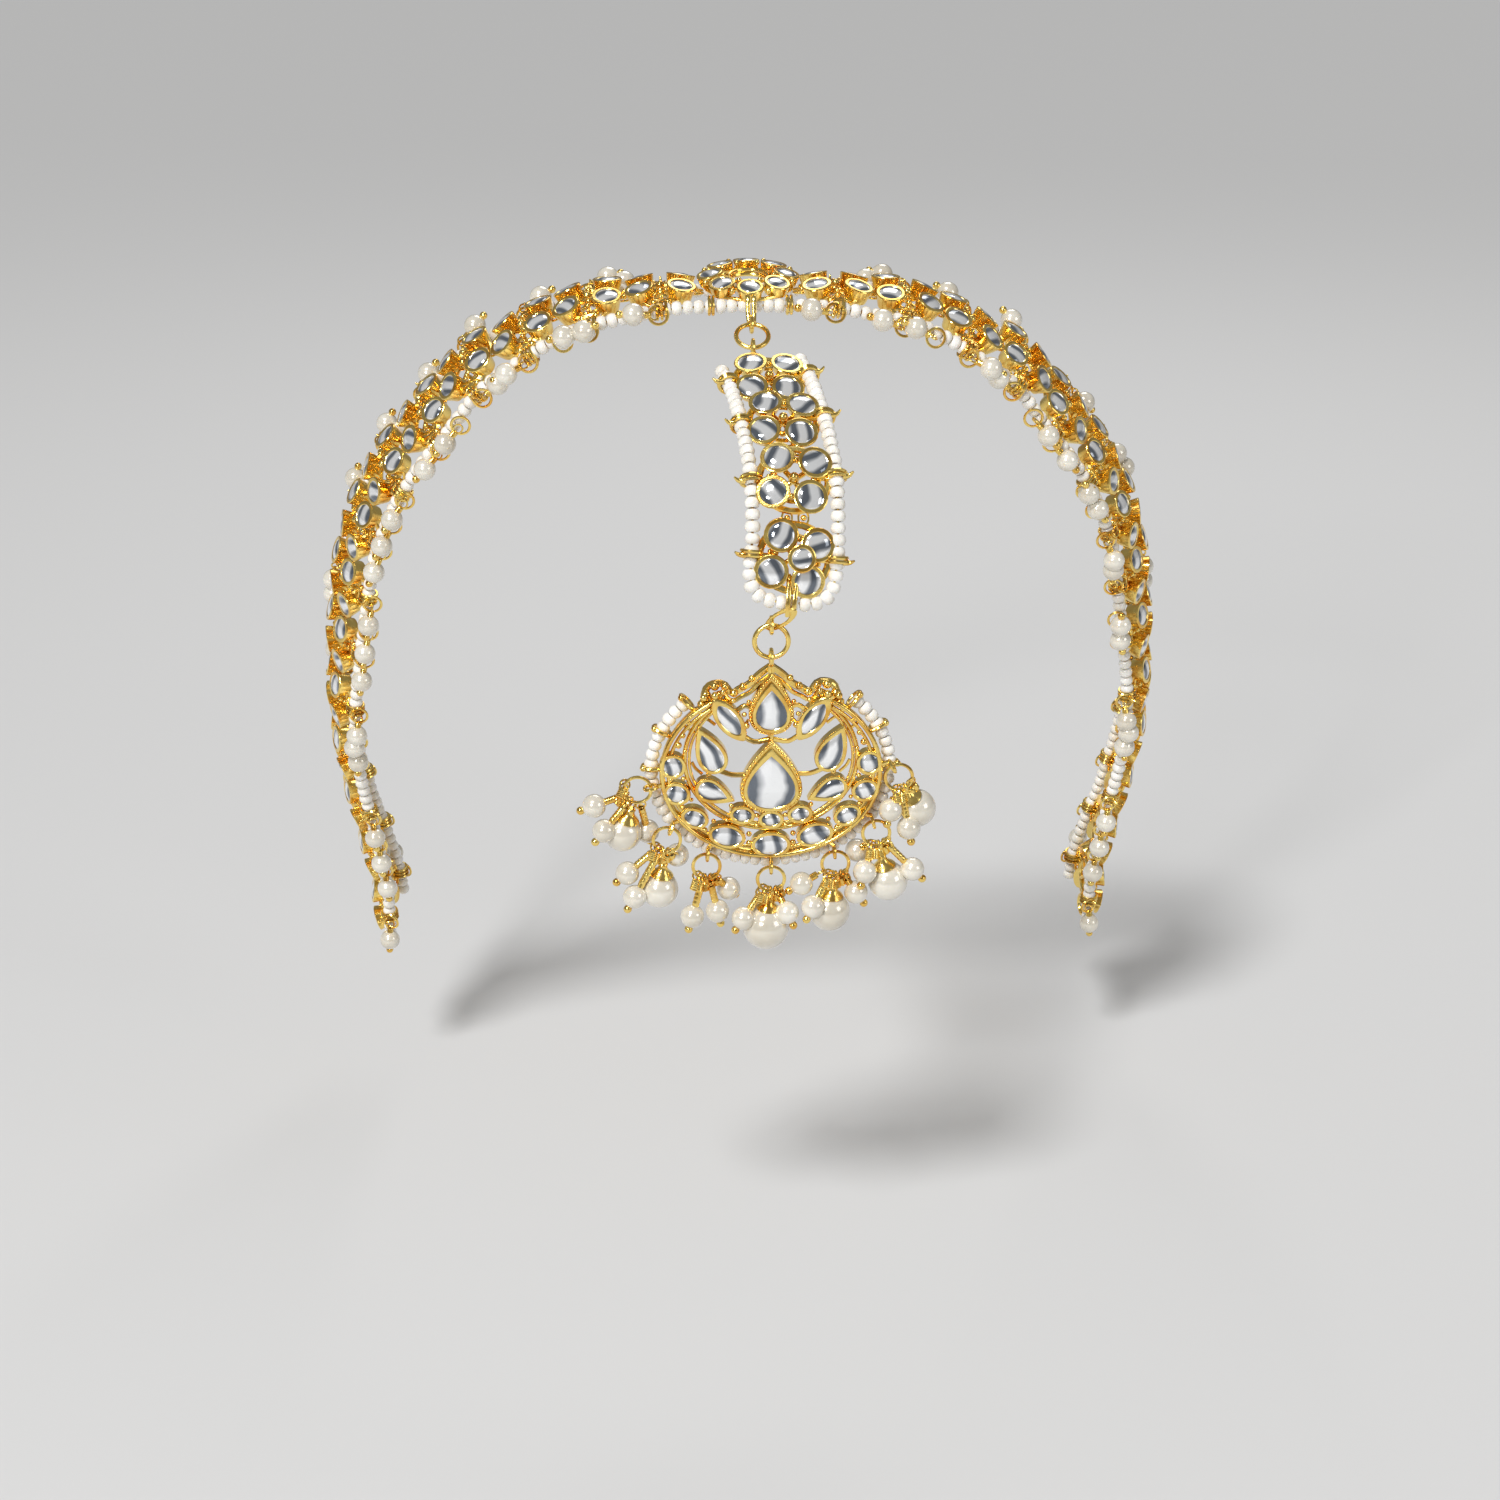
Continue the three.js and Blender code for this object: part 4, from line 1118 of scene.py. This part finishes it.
@dataclass
class CentreStrip:
    """The strip over the forehead, with the bead string round it."""

    units: int = 4
    row_lift: float = -0.35
    corner: float = 4.82
    skew: float = -11.0
    tilts: Sequence[float] = (11.0, 9.0, 3.0, 0.0)
    line: Route = field(default_factory=lambda: Route(STRIP_ROUTE))

    def __post_init__(self) -> None:
        """Finds the units' places and the string's."""
        self.places = [STRIP_FIRST + i * UNIT_PITCH for i in range(self.units)]
        self.last = self.places[-1]
        self.row_x = STRIP_ACROSS / 2 + self.corner
        self.bottom = self.last + ALONG_SPACING / 2 + self.corner

    def frame(self, distance: float) -> Matrix:
        """Gives the strip's frame: x along to the forehead, y across, z outwards.

        Args:
            distance: Distance along the line.

        Returns:
            The frame.
        """
        point, along = self.line.at(min(distance, self.last))
        across = Vector((1.0, 0.0, 0.0))
        across = (across - along * across.dot(along)).normalized()
        placed = basis(along, across, along.cross(across), point)
        return placed @ shift(max(distance - self.last, 0.0), 0, 0)

    def build(self, stock: Stock, dresser: Dresser) -> None:
        """Builds the units with their ties and loops, and the string.

        Args:
            stock: The small parts.
            dresser: Gives the materials.
        """
        piece = Piece("centre_strip_stones")
        self._units(piece, stock)
        for place in self.places:
            for edge in (-1, 1):
                self._tie(piece, stock, place, edge)
        self._loops(piece, stock)
        piece.finish(dresser, "head_piece", "gold", ["centre_strip"])
        beads = Piece("centre_strip_seed_beads")
        stock.string(beads, self._string_route(), STRING_PITCH, STRING_SIZE)
        beads.finish(dresser, "head_piece", "seed_beads", ["centre_strip_string"])

    def _units(self, piece: Piece, stock: Stock) -> None:
        """Adds the units, each turned and tilted a little, the raised stone and the links.

        Args:
            piece: The piece that it joins.
            stock: The small parts.
        """
        unit = FlowerUnit(STRIP_ACROSS, 6.9, 6.9, 1.9, 0.8, 9.0).stamp(stock)
        skew = Matrix.Rotation(math.radians(self.skew), 4, "Z")
        for place, tilt in zip(self.places, self.tilts):
            face = self.frame(place) @ Matrix.Rotation(math.radians(tilt), 4, "Y")
            piece.press(unit, face @ shift(0, 0, -STRIP_UNDER) @ skew)
        bpy.data.meshes.remove(unit)
        raised = Setting(Outline.OVAL, 5.6, 5.6, 20, 1.5, rim=0.8, foot=0.8).stamp()
        piece.press(raised, self.frame(self.last) @ shift(-0.2, 1.3, 1.6))
        bpy.data.meshes.remove(raised)
        for place in [2.4, *[p + UNIT_PITCH / 2 for p in self.places[:-1]]]:
            for y in (-1.6, 1.6):
                middle = self.frame(place) @ shift(0, y, 0.6 - STRIP_UNDER)
                piece.press(stock["eye"], middle @ Matrix.Diagonal((1.6, 1.0, 1.2, 1)))
                piece.press(stock["granule"], middle @ shift(0, 0, 0.7))

    def _string_route(self) -> Route:
        """Gives the string's line: down one side, round the end and up the other.

        Returns:
            The line.
        """
        top, bend = self.places[0] - UNIT_HALF, self.last + ALONG_SPACING / 2
        half = [(top + (bend - top) * i / 8, self.row_x) for i in range(8)]
        for angle in (90, 60, 30, 0):
            turn = math.radians(angle)
            across = STRIP_ACROSS / 2 + self.corner * math.sin(turn)
            half.append((bend + self.corner * math.cos(turn), across))
        both = [(place, -x) for place, x in half] + [(place, x) for place, x in reversed(half)]
        return Route([self.frame(place) @ Vector((0, x, self.row_lift)) for place, x in both], 12)

    def _tie(self, piece: Piece, stock: Stock, place: float, edge: int) -> None:
        """Ties the string to a unit and ends in a leaf outside it.

        Args:
            piece: The piece that it joins.
            stock: The small parts.
            place: Distance along the line.
            edge: Which edge: -1 or 1.
        """
        at = self.frame(place)
        string = at @ shift(0, edge * self.row_x, self.row_lift)
        upright = Matrix.Rotation(math.pi / 2, 4, "Y")
        for x in (-0.75, 0.05):
            piece.press(stock["tie"], string @ shift(x, 0, 0) @ upright @ Matrix.Scale(1.08, 4))
        inner = edge * (self.row_x - 1.5)
        piece.wire([(0, edge * 3.4, -0.3), (0, inner, 0.0), (0, inner + edge * 1.0, 0.6)], 1.3, 5, at)
        leaf = [(0, edge * 1.3, 0.8), (0.1, edge * 2.4, 0.9), (-0.4, edge * 3.3, 1.6)]
        stamp = wire_stamp(Route(leaf, 6).frames(5), 1.6, 6, Finish.GOLD, lambda t: 1.0 - 0.75 * t)
        piece.press(stamp, string)
        bpy.data.meshes.remove(stamp)

    def _loops(self, piece: Piece, stock: Stock) -> None:
        """Adds the loop on the upper ring and the one that holds the lower ring.

        Args:
            piece: The piece that it joins.
            stock: The small parts.
        """
        fall = math.radians(UPPER_RING_SLOPE)
        side = Matrix.Rotation(math.pi / 2, 4, "Y")
        upper = UPPER_RING - Vector((0, math.cos(fall), math.sin(fall))) * RING_R
        lower = LOWER_RING + Vector((0, 0, RING_R))
        for hold in (upper, lower):
            piece.press(stock["loop"], Matrix.Translation(hold) @ side)
        start = self.frame(3.2) @ Vector((0, 0, 0.6 - STRIP_UNDER))
        piece.wire([start, upper + Vector((0, -1.3, -0.6))], 1.0, 4, Matrix.Identity(4))
        over = self.row_lift + 1.9
        end = self.frame(self.bottom + 2.0) @ Vector((0, 0, over * 0.5))
        for y in (-0.62, 0.62):
            points = [
                self.frame(self.last + 3.2) @ Vector((0, y * 1.4, 0.2)),
                self.frame(self.bottom - 1.2) @ Vector((0, y, over)),
                self.frame(self.bottom + 1.2) @ Vector((0, y, over * 0.9)),
                end + Vector((y * 0.9, 0.0, -0.6)),
            ]
            piece.wire(points, 1.0, 12, Matrix.Identity(4))
        link = ring_stamp(1.3, 0.8, 20, 8, Finish.GOLD)
        down = (lower - end).normalized()
        side = down.cross(Vector((0, 1, 0))).normalized()
        stretch = Matrix.Diagonal((1, ((lower - end).length / 2 + 0.7) / 1.3, 1, 1))
        piece.press(link, basis(side, down, side.cross(down), end.lerp(lower, 0.5)) @ stretch)
        bpy.data.meshes.remove(link)


@dataclass(frozen=True)
class Gem:
    """A setting of the pendant, mirrored unless it is in the middle.

    Places are shares of the crescent's half axes, sizes are shares of its half height.
    """

    outline: Outline
    across: float
    up: float
    wide: float
    long: float
    turn: float
    sides: int


@dataclass(frozen=True)
class Rail:
    """A rail of the crescent: half axes, rise, horns past the level, wire, front and depth."""

    a: float
    b: float
    rise: float
    horn: float
    wire: float
    front: float
    deep: float


@dataclass(frozen=True)
class Drop:
    """A drop: its eyelet's angle, its ring's direction, the large pearl's size and the pearls.

    Pearls are places from the ring's middle, in small pearl diameters.
    """

    eyelet: float
    ring: float
    size: float
    big: tuple[float, float, float]
    small: tuple[tuple[float, float, float], ...]


GEMS = (
    Gem(Outline.OVAL, 0.882, 0.1, 0.29, 0.29, 0, 20),
    Gem(Outline.OVAL, 0.85, -0.22, 0.31, 0.27, 17, 20),
    Gem(Outline.OVAL, 0.691, -0.511, 0.32, 0.25, 25, 20),
    Gem(Outline.OVAL, 0.4, -0.735, 0.42, 0.29, 15, 24),
    Gem(Outline.OVAL, 0, -0.846, 0.44, 0.31, 0, 24),
    Gem(Outline.DROP, 0, -0.049, 0.68, 0.86, 0, 36),
    Gem(Outline.DROP, 0, 0.79, 0.49, 0.7, 0, 32),
    Gem(Outline.MARQUISE, 0.377, 0.626, 0.27, 0.59, -35, 28),
    Gem(Outline.DROP, 0.56, 0.28, 0.33, 0.58, -23, 28),
    Gem(Outline.DROP, 0.505, -0.22, 0.28, 0.47, 115, 28),
    Gem(Outline.OVAL, 0.261, -0.485, 0.285, 0.225, 8, 20),
    Gem(Outline.OVAL, 0, -0.544, 0.285, 0.225, 0, 20),
)
RAILS = (
    Rail(21.75, 17.95, 0.0, 57, 1.0, -0.7, 3.2), Rail(21.9, 18.1, 0.0, 56, 1.0, 1.05, 1.0),
    Rail(20.6, 16.85, 0.2, 54, 0.75, 0.75, 1.3), Rail(17.3, 15.1, 2.75, 50, 1.0, -0.1, 1.9),
    Rail(16.4, 14.2, 3.0, 47, 0.65, 0.45, 1.2),
)
DROPS = (
    Drop(187, 190, 0.94, (-0.63, -2.04, -0.35),
         ((-1.39, -1.75, 0.1), (-1.78, -0.71, -0.1), (0.39, -2.16, -0.72))),
    Drop(214, 250, 0.95, (-0.33, -2.33, -0.25),
         ((-1.65, -1.47, 0), (-1.37, -2.41, 0.3), (0.43, -0.96, -0.6))),
    Drop(238, 265, 0, (0, 0, 0),
         ((-0.61, -2.22, 0.1), (0.45, -2.1, -0.1), (0.94, -1.33, -0.65))),
    Drop(270, 270, 1.18, (-0.2, -2.23, -0.15),
         ((0.67, -1.44, 0.25), (-1.16, -1.66, 0.25))),
    Drop(302, 275, 1.03, (-0.2, -2.27, -0.25),
         ((-0.94, -1.78, 0.35), (-1.41, -0.88, 0), (0.88, -1.33, 0))),
    Drop(328, 285, 1, (0.55, -2.29, -0.25),
         ((-0.47, -1.61, 0.3), (1.55, -1.67, 0), (-0.72, -1.06, -0.67))),
    Drop(3, 300, 0.95, (0.84, -1.6, -0.5),
         ((-0.33, -1.4, 0.16), (0.43, -2.2, 0.2))),
)

# Lines of the pendant through their points, as shares of the crescent's two half axes
BARS = (
    ((0.27, 0.44), (0.15, 0.35), (0.02, 0.38)), ((0.46, 0.02), (0.35, -0.03), (0.23, -0.03)),
    ((0.16, 0.73), (0.23, 0.77), (0.31, 0.71)), ((0.56, 0.86), (0.53, 0.84), (0.49, 0.8)),
)
CURLS = (
    ((0.2, 0.6), (0.26, 0.5), (0.36, 0.42)), ((0.5, 0.55), (0.58, 0.62), (0.68, 0.62)),
    ((0.66, 0.45), (0.73, 0.5), (0.78, 0.55)), ((0.62, -0.02), (0.68, 0.05), (0.71, 0.12)),
)
SCROLL = (
    (0.6, 0.77), (0.56, 0.96), (0.43, 0.99), (0.35, 0.88),
    (0.27, 0.93), (0.19, 0.98), (0.1, 1.09), (0, 1.18),
)

# Granules of the pendant: place in the same shares, size against the stock's
GRANULES = (
    (0.83, 0.34, 1.1), (0.79, 0.45, 0.9), (0.77, 0.27, 0.8), (0.9, -0.06, 0.8), (0.79, -0.05, 0.8),
    (0.8, -0.38, 0.8), (0.72, -0.3, 0.7), (0.6, -0.66, 0.9), (0.52, -0.56, 0.8), (0.2, -0.83, 1.0),
    (0.2, -0.72, 0.9), (0.13, -0.5, 0.8), (0.13, -0.62, 0.8), (0.36, -0.38, 0.8), (0.4, -0.55, 0.8),
    (0.22, 0.55, 1.0), (0.24, 0.68, 0.8), (0.74, 0.6, 0.8), (0.64, 0.72, 0.9), (0.2, 0.82, 0.8),
    (0.56, 0.0, 0.9), (0.5, 0.9, 1.3), (0.6, 0.88, 1.2), (0.43, 0.94, 1.0), (0.34, 0.84, 0.9),
)
SCROLL_LUMPS = (
    (0.58, 0.88, 1.7), (0.5, 0.98, 1.5), (0.41, 0.97, 1.3), (0.33, 0.9, 1.4),
    (0.25, 0.97, 1.3), (0.46, 0.88, 1.4), (0.62, 0.78, 1.3), (0.17, 1.06, 1.1),
)

# Angles round the rim where wire holds its string
RIM_TIES = (134, 155, 178, 26, 2, 46)


@dataclass
class Pendant:
    """The forehead pendant: rails, lotus of stones, scroll, rim string and drops."""

    plate: float = 1.8
    rim_out: float = 1.7
    rim_back: float = -1.9
    eyelet_front: float = 3.2
    place: Matrix = field(
        default_factory=lambda: Matrix.Translation(PENDANT_AT) @ Matrix.Rotation(math.pi / 2, 4, "X")
    )

    def rim(self, angle: float, out: float, front: float) -> Vector:
        """Gives a point round the crescent's rim."""
        turn = math.radians(angle)
        return Vector(((CRESCENT_A + out) * math.cos(turn), (CRESCENT_B + out) * math.sin(turn), front))

    @staticmethod
    def inside(across: float, up: float, front: float) -> Vector:
        """Gives a point in the crescent by shares of its half axes."""
        return Vector((across * CRESCENT_A, up * CRESCENT_B, front))

    def build(self, stock: Stock, dresser: Dresser) -> None:
        """Builds the plate, its string and its drops.

        Args:
            stock: The small parts.
            dresser: Gives the materials.
        """
        plate = Piece("pendant_openwork")
        self._rails(plate)
        self._stones(plate, stock)
        self._wires(plate, stock)
        plate.finish(dresser, "pendant", "gold", ["pendant_plate"])
        beads = Piece("pendant_seed_beads")
        angles = [134 + 272 * i / 40 for i in range(41)]
        route = Route([self.place @ self.rim(a, self.rim_out, self.rim_back) for a in angles], 4)
        stock.string(beads, route, RIM_PITCH, 1.0)
        beads.finish(dresser, "pendant", "seed_beads", ["pendant_rim_string"])
        for i, drop in enumerate(DROPS, start=1):
            self._drop(f"pearl_drop_{i}", f"pendant_drop_{i}", drop, stock, dresser)
        ring = Piece("lower_jump_ring")
        upright = Matrix.Translation(LOWER_RING) @ Matrix.Rotation(math.pi / 2, 4, "X")
        ring.press(stock["jump"], upright)
        ring.finish(dresser, "lower_ring", "gold", ["jump_ring_lower"])

    def _rails(self, plate: Piece) -> None:
        """Adds the outer, the middle and the inner rails.

        Args:
            plate: The piece that it joins.
        """
        for rail in RAILS:
            points = []
            for i in range(41):
                turn = math.radians(180 - rail.horn + (180 + 2 * rail.horn) * i / 40)
                points.append((rail.a * math.cos(turn), rail.rise + rail.b * math.sin(turn), 0.0))
            stamp = wire_stamp(Route(points, 3).frames(72), rail.wire, 8, Finish.GOLD)
            depth = Matrix.Diagonal((1, 1, rail.deep, 1))
            plate.press(stamp, self.place @ shift(0, 0, rail.front) @ depth)
            bpy.data.meshes.remove(stamp)

    def _stones(self, plate: Piece, stock: Stock) -> None:
        """Adds the settings, the milled edges of the two middle drops and the granules between.

        Args:
            plate: The piece that it joins.
            stock: The small parts.
        """
        for gem in GEMS:
            milled = gem.outline is Outline.DROP and not gem.across
            size = (gem.wide * CRESCENT_B, gem.long * CRESCENT_B)
            ledge = 0.55 if milled else 0.0
            height = self.plate + (0.35 if milled else 0.55)
            stamp = Setting(gem.outline, *size, gem.sides, height, rim=0.78, ledge=ledge).stamp()
            for mirror in (1, -1) if gem.across else (1,):
                at = shift(mirror * gem.across * CRESCENT_A, gem.up * CRESCENT_B, -self.plate / 2)
                at = self.place @ at
                plate.press(stamp, at @ Matrix.Rotation(math.radians(mirror * gem.turn), 4, "Z"))
                if milled:
                    self._milling(plate, stock, size, at @ shift(0, 0, height + 0.05))
            bpy.data.meshes.remove(stamp)
        for x, y, size in GRANULES:
            self._grains(plate, stock, (x, y, 0.8), size)

    def _grains(
        self, plate: Piece, stock: Stock, at: Sequence[float], size: float, sides: Sequence[int] = (-1, 1)
    ) -> None:
        """Adds granules at a place of the crescent, on the given sides.

        Args:
            plate: The piece that it joins.
            stock: The small parts.
            at: Place as shares of the crescent's half axes, and the front.
            size: Size against the stock's.
            sides: Sides that get one.
        """
        for mirror in sides:
            place = self.place @ Matrix.Translation(self.inside(mirror * at[0], at[1], at[2]))
            plate.press(stock["granule"], place @ Matrix.Scale(size, 4))

    def _milling(self, plate: Piece, stock: Stock, size: tuple[float, float], at: Matrix) -> None:
        """Sets a row of fine grains on the ledge round a drop-shaped stone.

        Args:
            plate: The piece that it joins.
            stock: The small parts.
            size: Width and length of the setting.
            at: The ledge's frame.
        """
        grains = 46
        for i in range(grains):
            point = Outline.DROP.point(i / grains, size[0] - 0.7, size[1] - 0.9, 0.0)
            plate.press(stock["granule"], at @ Matrix.Translation(point) @ Matrix.Scale(0.48, 4))

    def _wires(self, plate: Piece, stock: Stock) -> None:
        """Adds the bars and curls of the lotus, the scroll behind it, the bail and the holders.

        Args:
            plate: The piece that it joins.
            stock: The small parts.
        """
        for mirror in (-1, 1):
            for lines, front, wire in ((BARS, 0.2, 1.1), (CURLS, -0.1, 0.7)):
                for line in lines:
                    points = [self.inside(mirror * x, y, front) for x, y in line]
                    plate.wire(points, wire, 6, self.place)
            back = [self.inside(mirror * x, y, -1.6) for x, y in SCROLL]
            plate.wire(back, 1.7, 24, self.place)
            plate.wire([p + Vector((0, -1.4, 1.0)) for p in back[2:]], 1.0, 18, self.place)
            for x, y, size in SCROLL_LUMPS:
                self._grains(plate, stock, (x, y, -0.7), size, (mirror,))
        plate.wire([self.inside(0, 0.3, 0), self.inside(0, 0.55, 0)], 1.3, 2, self.place)
        foot = Vector((0, BAIL_RISE - LOOP_R, 0))
        plate.wire([self.inside(0, 1.05, 0.2), self.inside(0, 1.14, -0.3), foot], 1.3, 5, self.place)
        bail = Matrix.Translation((0, BAIL_RISE, 0)) @ Matrix.Rotation(math.pi / 2, 4, "Y")
        plate.press(stock["loop"], self.place @ bail)
        self._lugs(plate)
        self._rim_ties(plate, stock)

    def _lugs(self, plate: Piece) -> None:
        """Adds the eyelets of the drops, each with its stub.

        Args:
            plate: The piece that it joins.
        """
        lug = ring_stamp(1.35, 0.7, 18, 8, Finish.GOLD)
        for drop in DROPS:
            eye = self._eyelet(drop.eyelet)
            turn = math.radians(drop.ring)
            spin = Matrix.Rotation(turn, 4, "Z") @ Matrix.Rotation(math.pi / 2, 4, "X")
            plate.press(lug, self.place @ Matrix.Translation(eye) @ spin)
            near = eye - Vector((math.cos(turn), math.sin(turn), 0)) * 1.3 + Vector((0, 0, 0.2))
            plate.wire([self.rim(drop.eyelet, -0.7, 0.5), near], 0.95, 3, self.place)
        bpy.data.meshes.remove(lug)

    def _rim_ties(self, plate: Piece, stock: Stock) -> None:
        """Adds the wires that hold the rim string, each with a grain at its end.

        Args:
            plate: The piece that it joins.
            stock: The small parts.
        """
        for angle in RIM_TIES:
            ring = Matrix.Translation(self.rim(angle, self.rim_out, self.rim_back))
            spin = Matrix.Rotation(math.radians(angle), 4, "Z") @ Matrix.Rotation(math.pi / 2, 4, "X")
            plate.press(stock["tie"], self.place @ ring @ spin)
            tip = Matrix.Translation(self.rim(angle, 3.3, self.rim_back + 1.0)) @ Matrix.Scale(1.1, 4)
            plate.press(stock["granule"], self.place @ tip)
            bar = [self.rim(angle, out, front) for out, front in ((-0.3, -0.4), (1.6, -0.2), (3.4, -0.9))]
            plate.wire(bar, 0.9, 5, self.place)

    def _eyelet(self, angle: float) -> Vector:
        """Gives the middle of an eyelet."""
        return self.rim(angle, self.rim_out + GAP, self.rim_back + self.eyelet_front)

    def _drop(self, name: str, node: str, drop: Drop, stock: Stock, dresser: Dresser) -> None:
        """Builds one drop: its ring and the pearls that hang on it.

        Args:
            name: Name of the piece.
            node: The solid that it stands for.
            drop: The drop's row.
            stock: The small parts.
            dresser: Gives the materials.
        """
        turn = math.radians(drop.ring)
        middle = self._eyelet(drop.eyelet) + Vector((math.cos(turn), math.sin(turn), 0)) * DROP_RING_R
        local = Piece(name)
        local.press(stock["drop_ring"], Matrix.Translation(middle))
        pearls = [(offset, 1.0, False) for offset in drop.small]
        if drop.size:
            pearls.append((drop.big, drop.size, True))
        for place, scale, big in pearls:
            offset = Vector(place) * SMALL_PEARL_D
            out = Vector((offset.x, offset.y, 0)).normalized()
            stock.pearl_on_wire(local, middle + out * DROP_RING_R, middle + offset, scale, big)
        for k in range(5):
            self._wound_end(local, stock, middle, math.radians(drop.ring - 36 + 18 * k), k)
        bmesh.ops.transform(local.bm, matrix=self.place, verts=local.bm.verts)
        local.finish(dresser, "pendant", "pearl", [node])

    @staticmethod
    def _wound_end(local: Piece, stock: Stock, middle: Vector, lean: float, k: int) -> None:
        """Adds one of the wound wire ends that fill a drop between its pearls.

        Args:
            local: The drop's piece.
            stock: The small parts.
            middle: Middle of the drop's ring.
            lean: Its angle round the ring.
            k: Its number, which sets how far it stands out.
        """
        start = middle + Vector((math.cos(lean), math.sin(lean), 0)) * DROP_RING_R
        end = start + Vector((math.cos(lean) * 1.6, -2.6, 1.6 - k * 0.9))
        eye = facing(end - start, start, 40.0 * k) @ Matrix.Rotation(math.pi / 2, 4, "X")
        local.press(stock["eye"], eye)
        coil = facing(end - start, start.lerp(end, 0.3), 0.0)
        local.press(stock["coil"], coil @ Matrix.Diagonal((1.1, 1.1, 1.9, 1)))


@dataclass
class Studio:
    """Floor, lights and camera."""

    eye: tuple[float, float, float] = (-0.02627, -0.50944, 0.10205)
    azimuth: float = 3.0
    elevation: float = 22.0
    lens: float = 57.6
    sky: float = 0.22
    daylight: float = 1.9

    def build(self) -> None:
        """Builds the stage and the camera at the photograph's angle."""
        scene = bpy.context.scene
        scene.view_settings.view_transform = "Standard"
        self._floor()
        world = bpy.data.worlds.new("studio")
        world.use_nodes = True
        back = world.node_tree.nodes["Background"]
        back.inputs["Color"].default_value = (1.0, 0.99, 0.97, 1.0)
        back.inputs["Strength"].default_value = self.sky
        scene.world = world
        sun = bpy.data.lights.new("daylight", "SUN")
        sun.energy, sun.angle = self.daylight, math.radians(13)
        self._aim(scene, sun, (-0.5, -0.75, 1.3))
        for name, at, size, power in (
            ("key", (-0.45, -0.8, 0.4), 0.16, 3.6),
            ("fill", (0.8, -0.6, 0.3), 0.4, 1.2),
            ("back", (0.15, 0.7, 0.7), 0.5, 2.0),
        ):
            light = bpy.data.lights.new(name, "AREA")
            light.size, light.energy = size, power
            self._aim(scene, light, at)
        self._camera(scene)

    @staticmethod
    def _aim(scene: bpy.types.Scene, light: bpy.types.Light, at: Sequence[float]) -> None:
        """Stands a light at a place and points it at the ornament.

        Args:
            scene: The scene.
            light: The light.
            at: Where it stands.
        """
        lamp = bpy.data.objects.new(light.name, light)
        aim = Vector((0, -0.02, -0.06)) - Vector(at)
        lamp.matrix_world = Matrix.Translation(at) @ aim.to_track_quat("-Z", "Y").to_matrix().to_4x4()
        scene.collection.objects.link(lamp)

    def _floor(self) -> None:
        """Lays the pale floor under the lowest point."""
        bm = bmesh.new()
        bmesh.ops.create_grid(bm, x_segments=1, y_segments=1, size=6.0)
        bmesh.ops.translate(bm, vec=(0, 3.0, -0.2), verts=bm.verts)
        mesh = bpy.data.meshes.new("floor")
        bm.to_mesh(mesh)
        bm.free()
        material = bpy.data.materials.new("floor_paint")
        material.use_nodes = True
        shader = material.node_tree.nodes["Principled BSDF"]
        shader.inputs["Base Color"].default_value = (0.66, 0.66, 0.66, 1.0)
        shader.inputs["Roughness"].default_value = 0.8
        mesh.materials.append(material)
        floor = bpy.data.objects.new("floor", mesh)
        bpy.context.scene.collection.objects.link(floor)

    def _camera(self, scene: bpy.types.Scene) -> None:
        """Sets the camera.

        Args:
            scene: The scene.
        """
        camera = bpy.data.cameras.new("camera")
        camera.lens, camera.sensor_width = self.lens, 36.0
        camera.clip_start = 0.01
        holder = bpy.data.objects.new("camera", camera)
        turn, tilt = math.radians(self.azimuth), math.radians(self.elevation)
        level = math.cos(tilt)
        aim = Vector((math.sin(turn) * level, math.cos(turn) * level, -math.sin(tilt)))
        look = aim.to_track_quat("-Z", "Y").to_matrix().to_4x4()
        holder.matrix_world = Matrix.Translation(self.eye) @ look
        scene.collection.objects.link(holder)
        scene.camera = holder


def main() -> None:
    """Builds the parts in order."""
    logging.basicConfig(level=logging.INFO, format="%(message)s")
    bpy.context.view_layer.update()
    Studio().build()
    stock, dresser = Stock(), Dresser()
    CrownFlower().build(stock, dresser)
    CentreStrip().build(stock, dresser)
    SideBand("right", 1, (-1, -1, 1, -1, 1, 1, 1)).build(stock, dresser)
    SideBand("left", -1, (1, 1, 1, -1, 1, 1, 1)).build(stock, dresser)
    Pendant().build(stock, dresser)
    stock.clear()


if __name__ == "__main__":
    main()
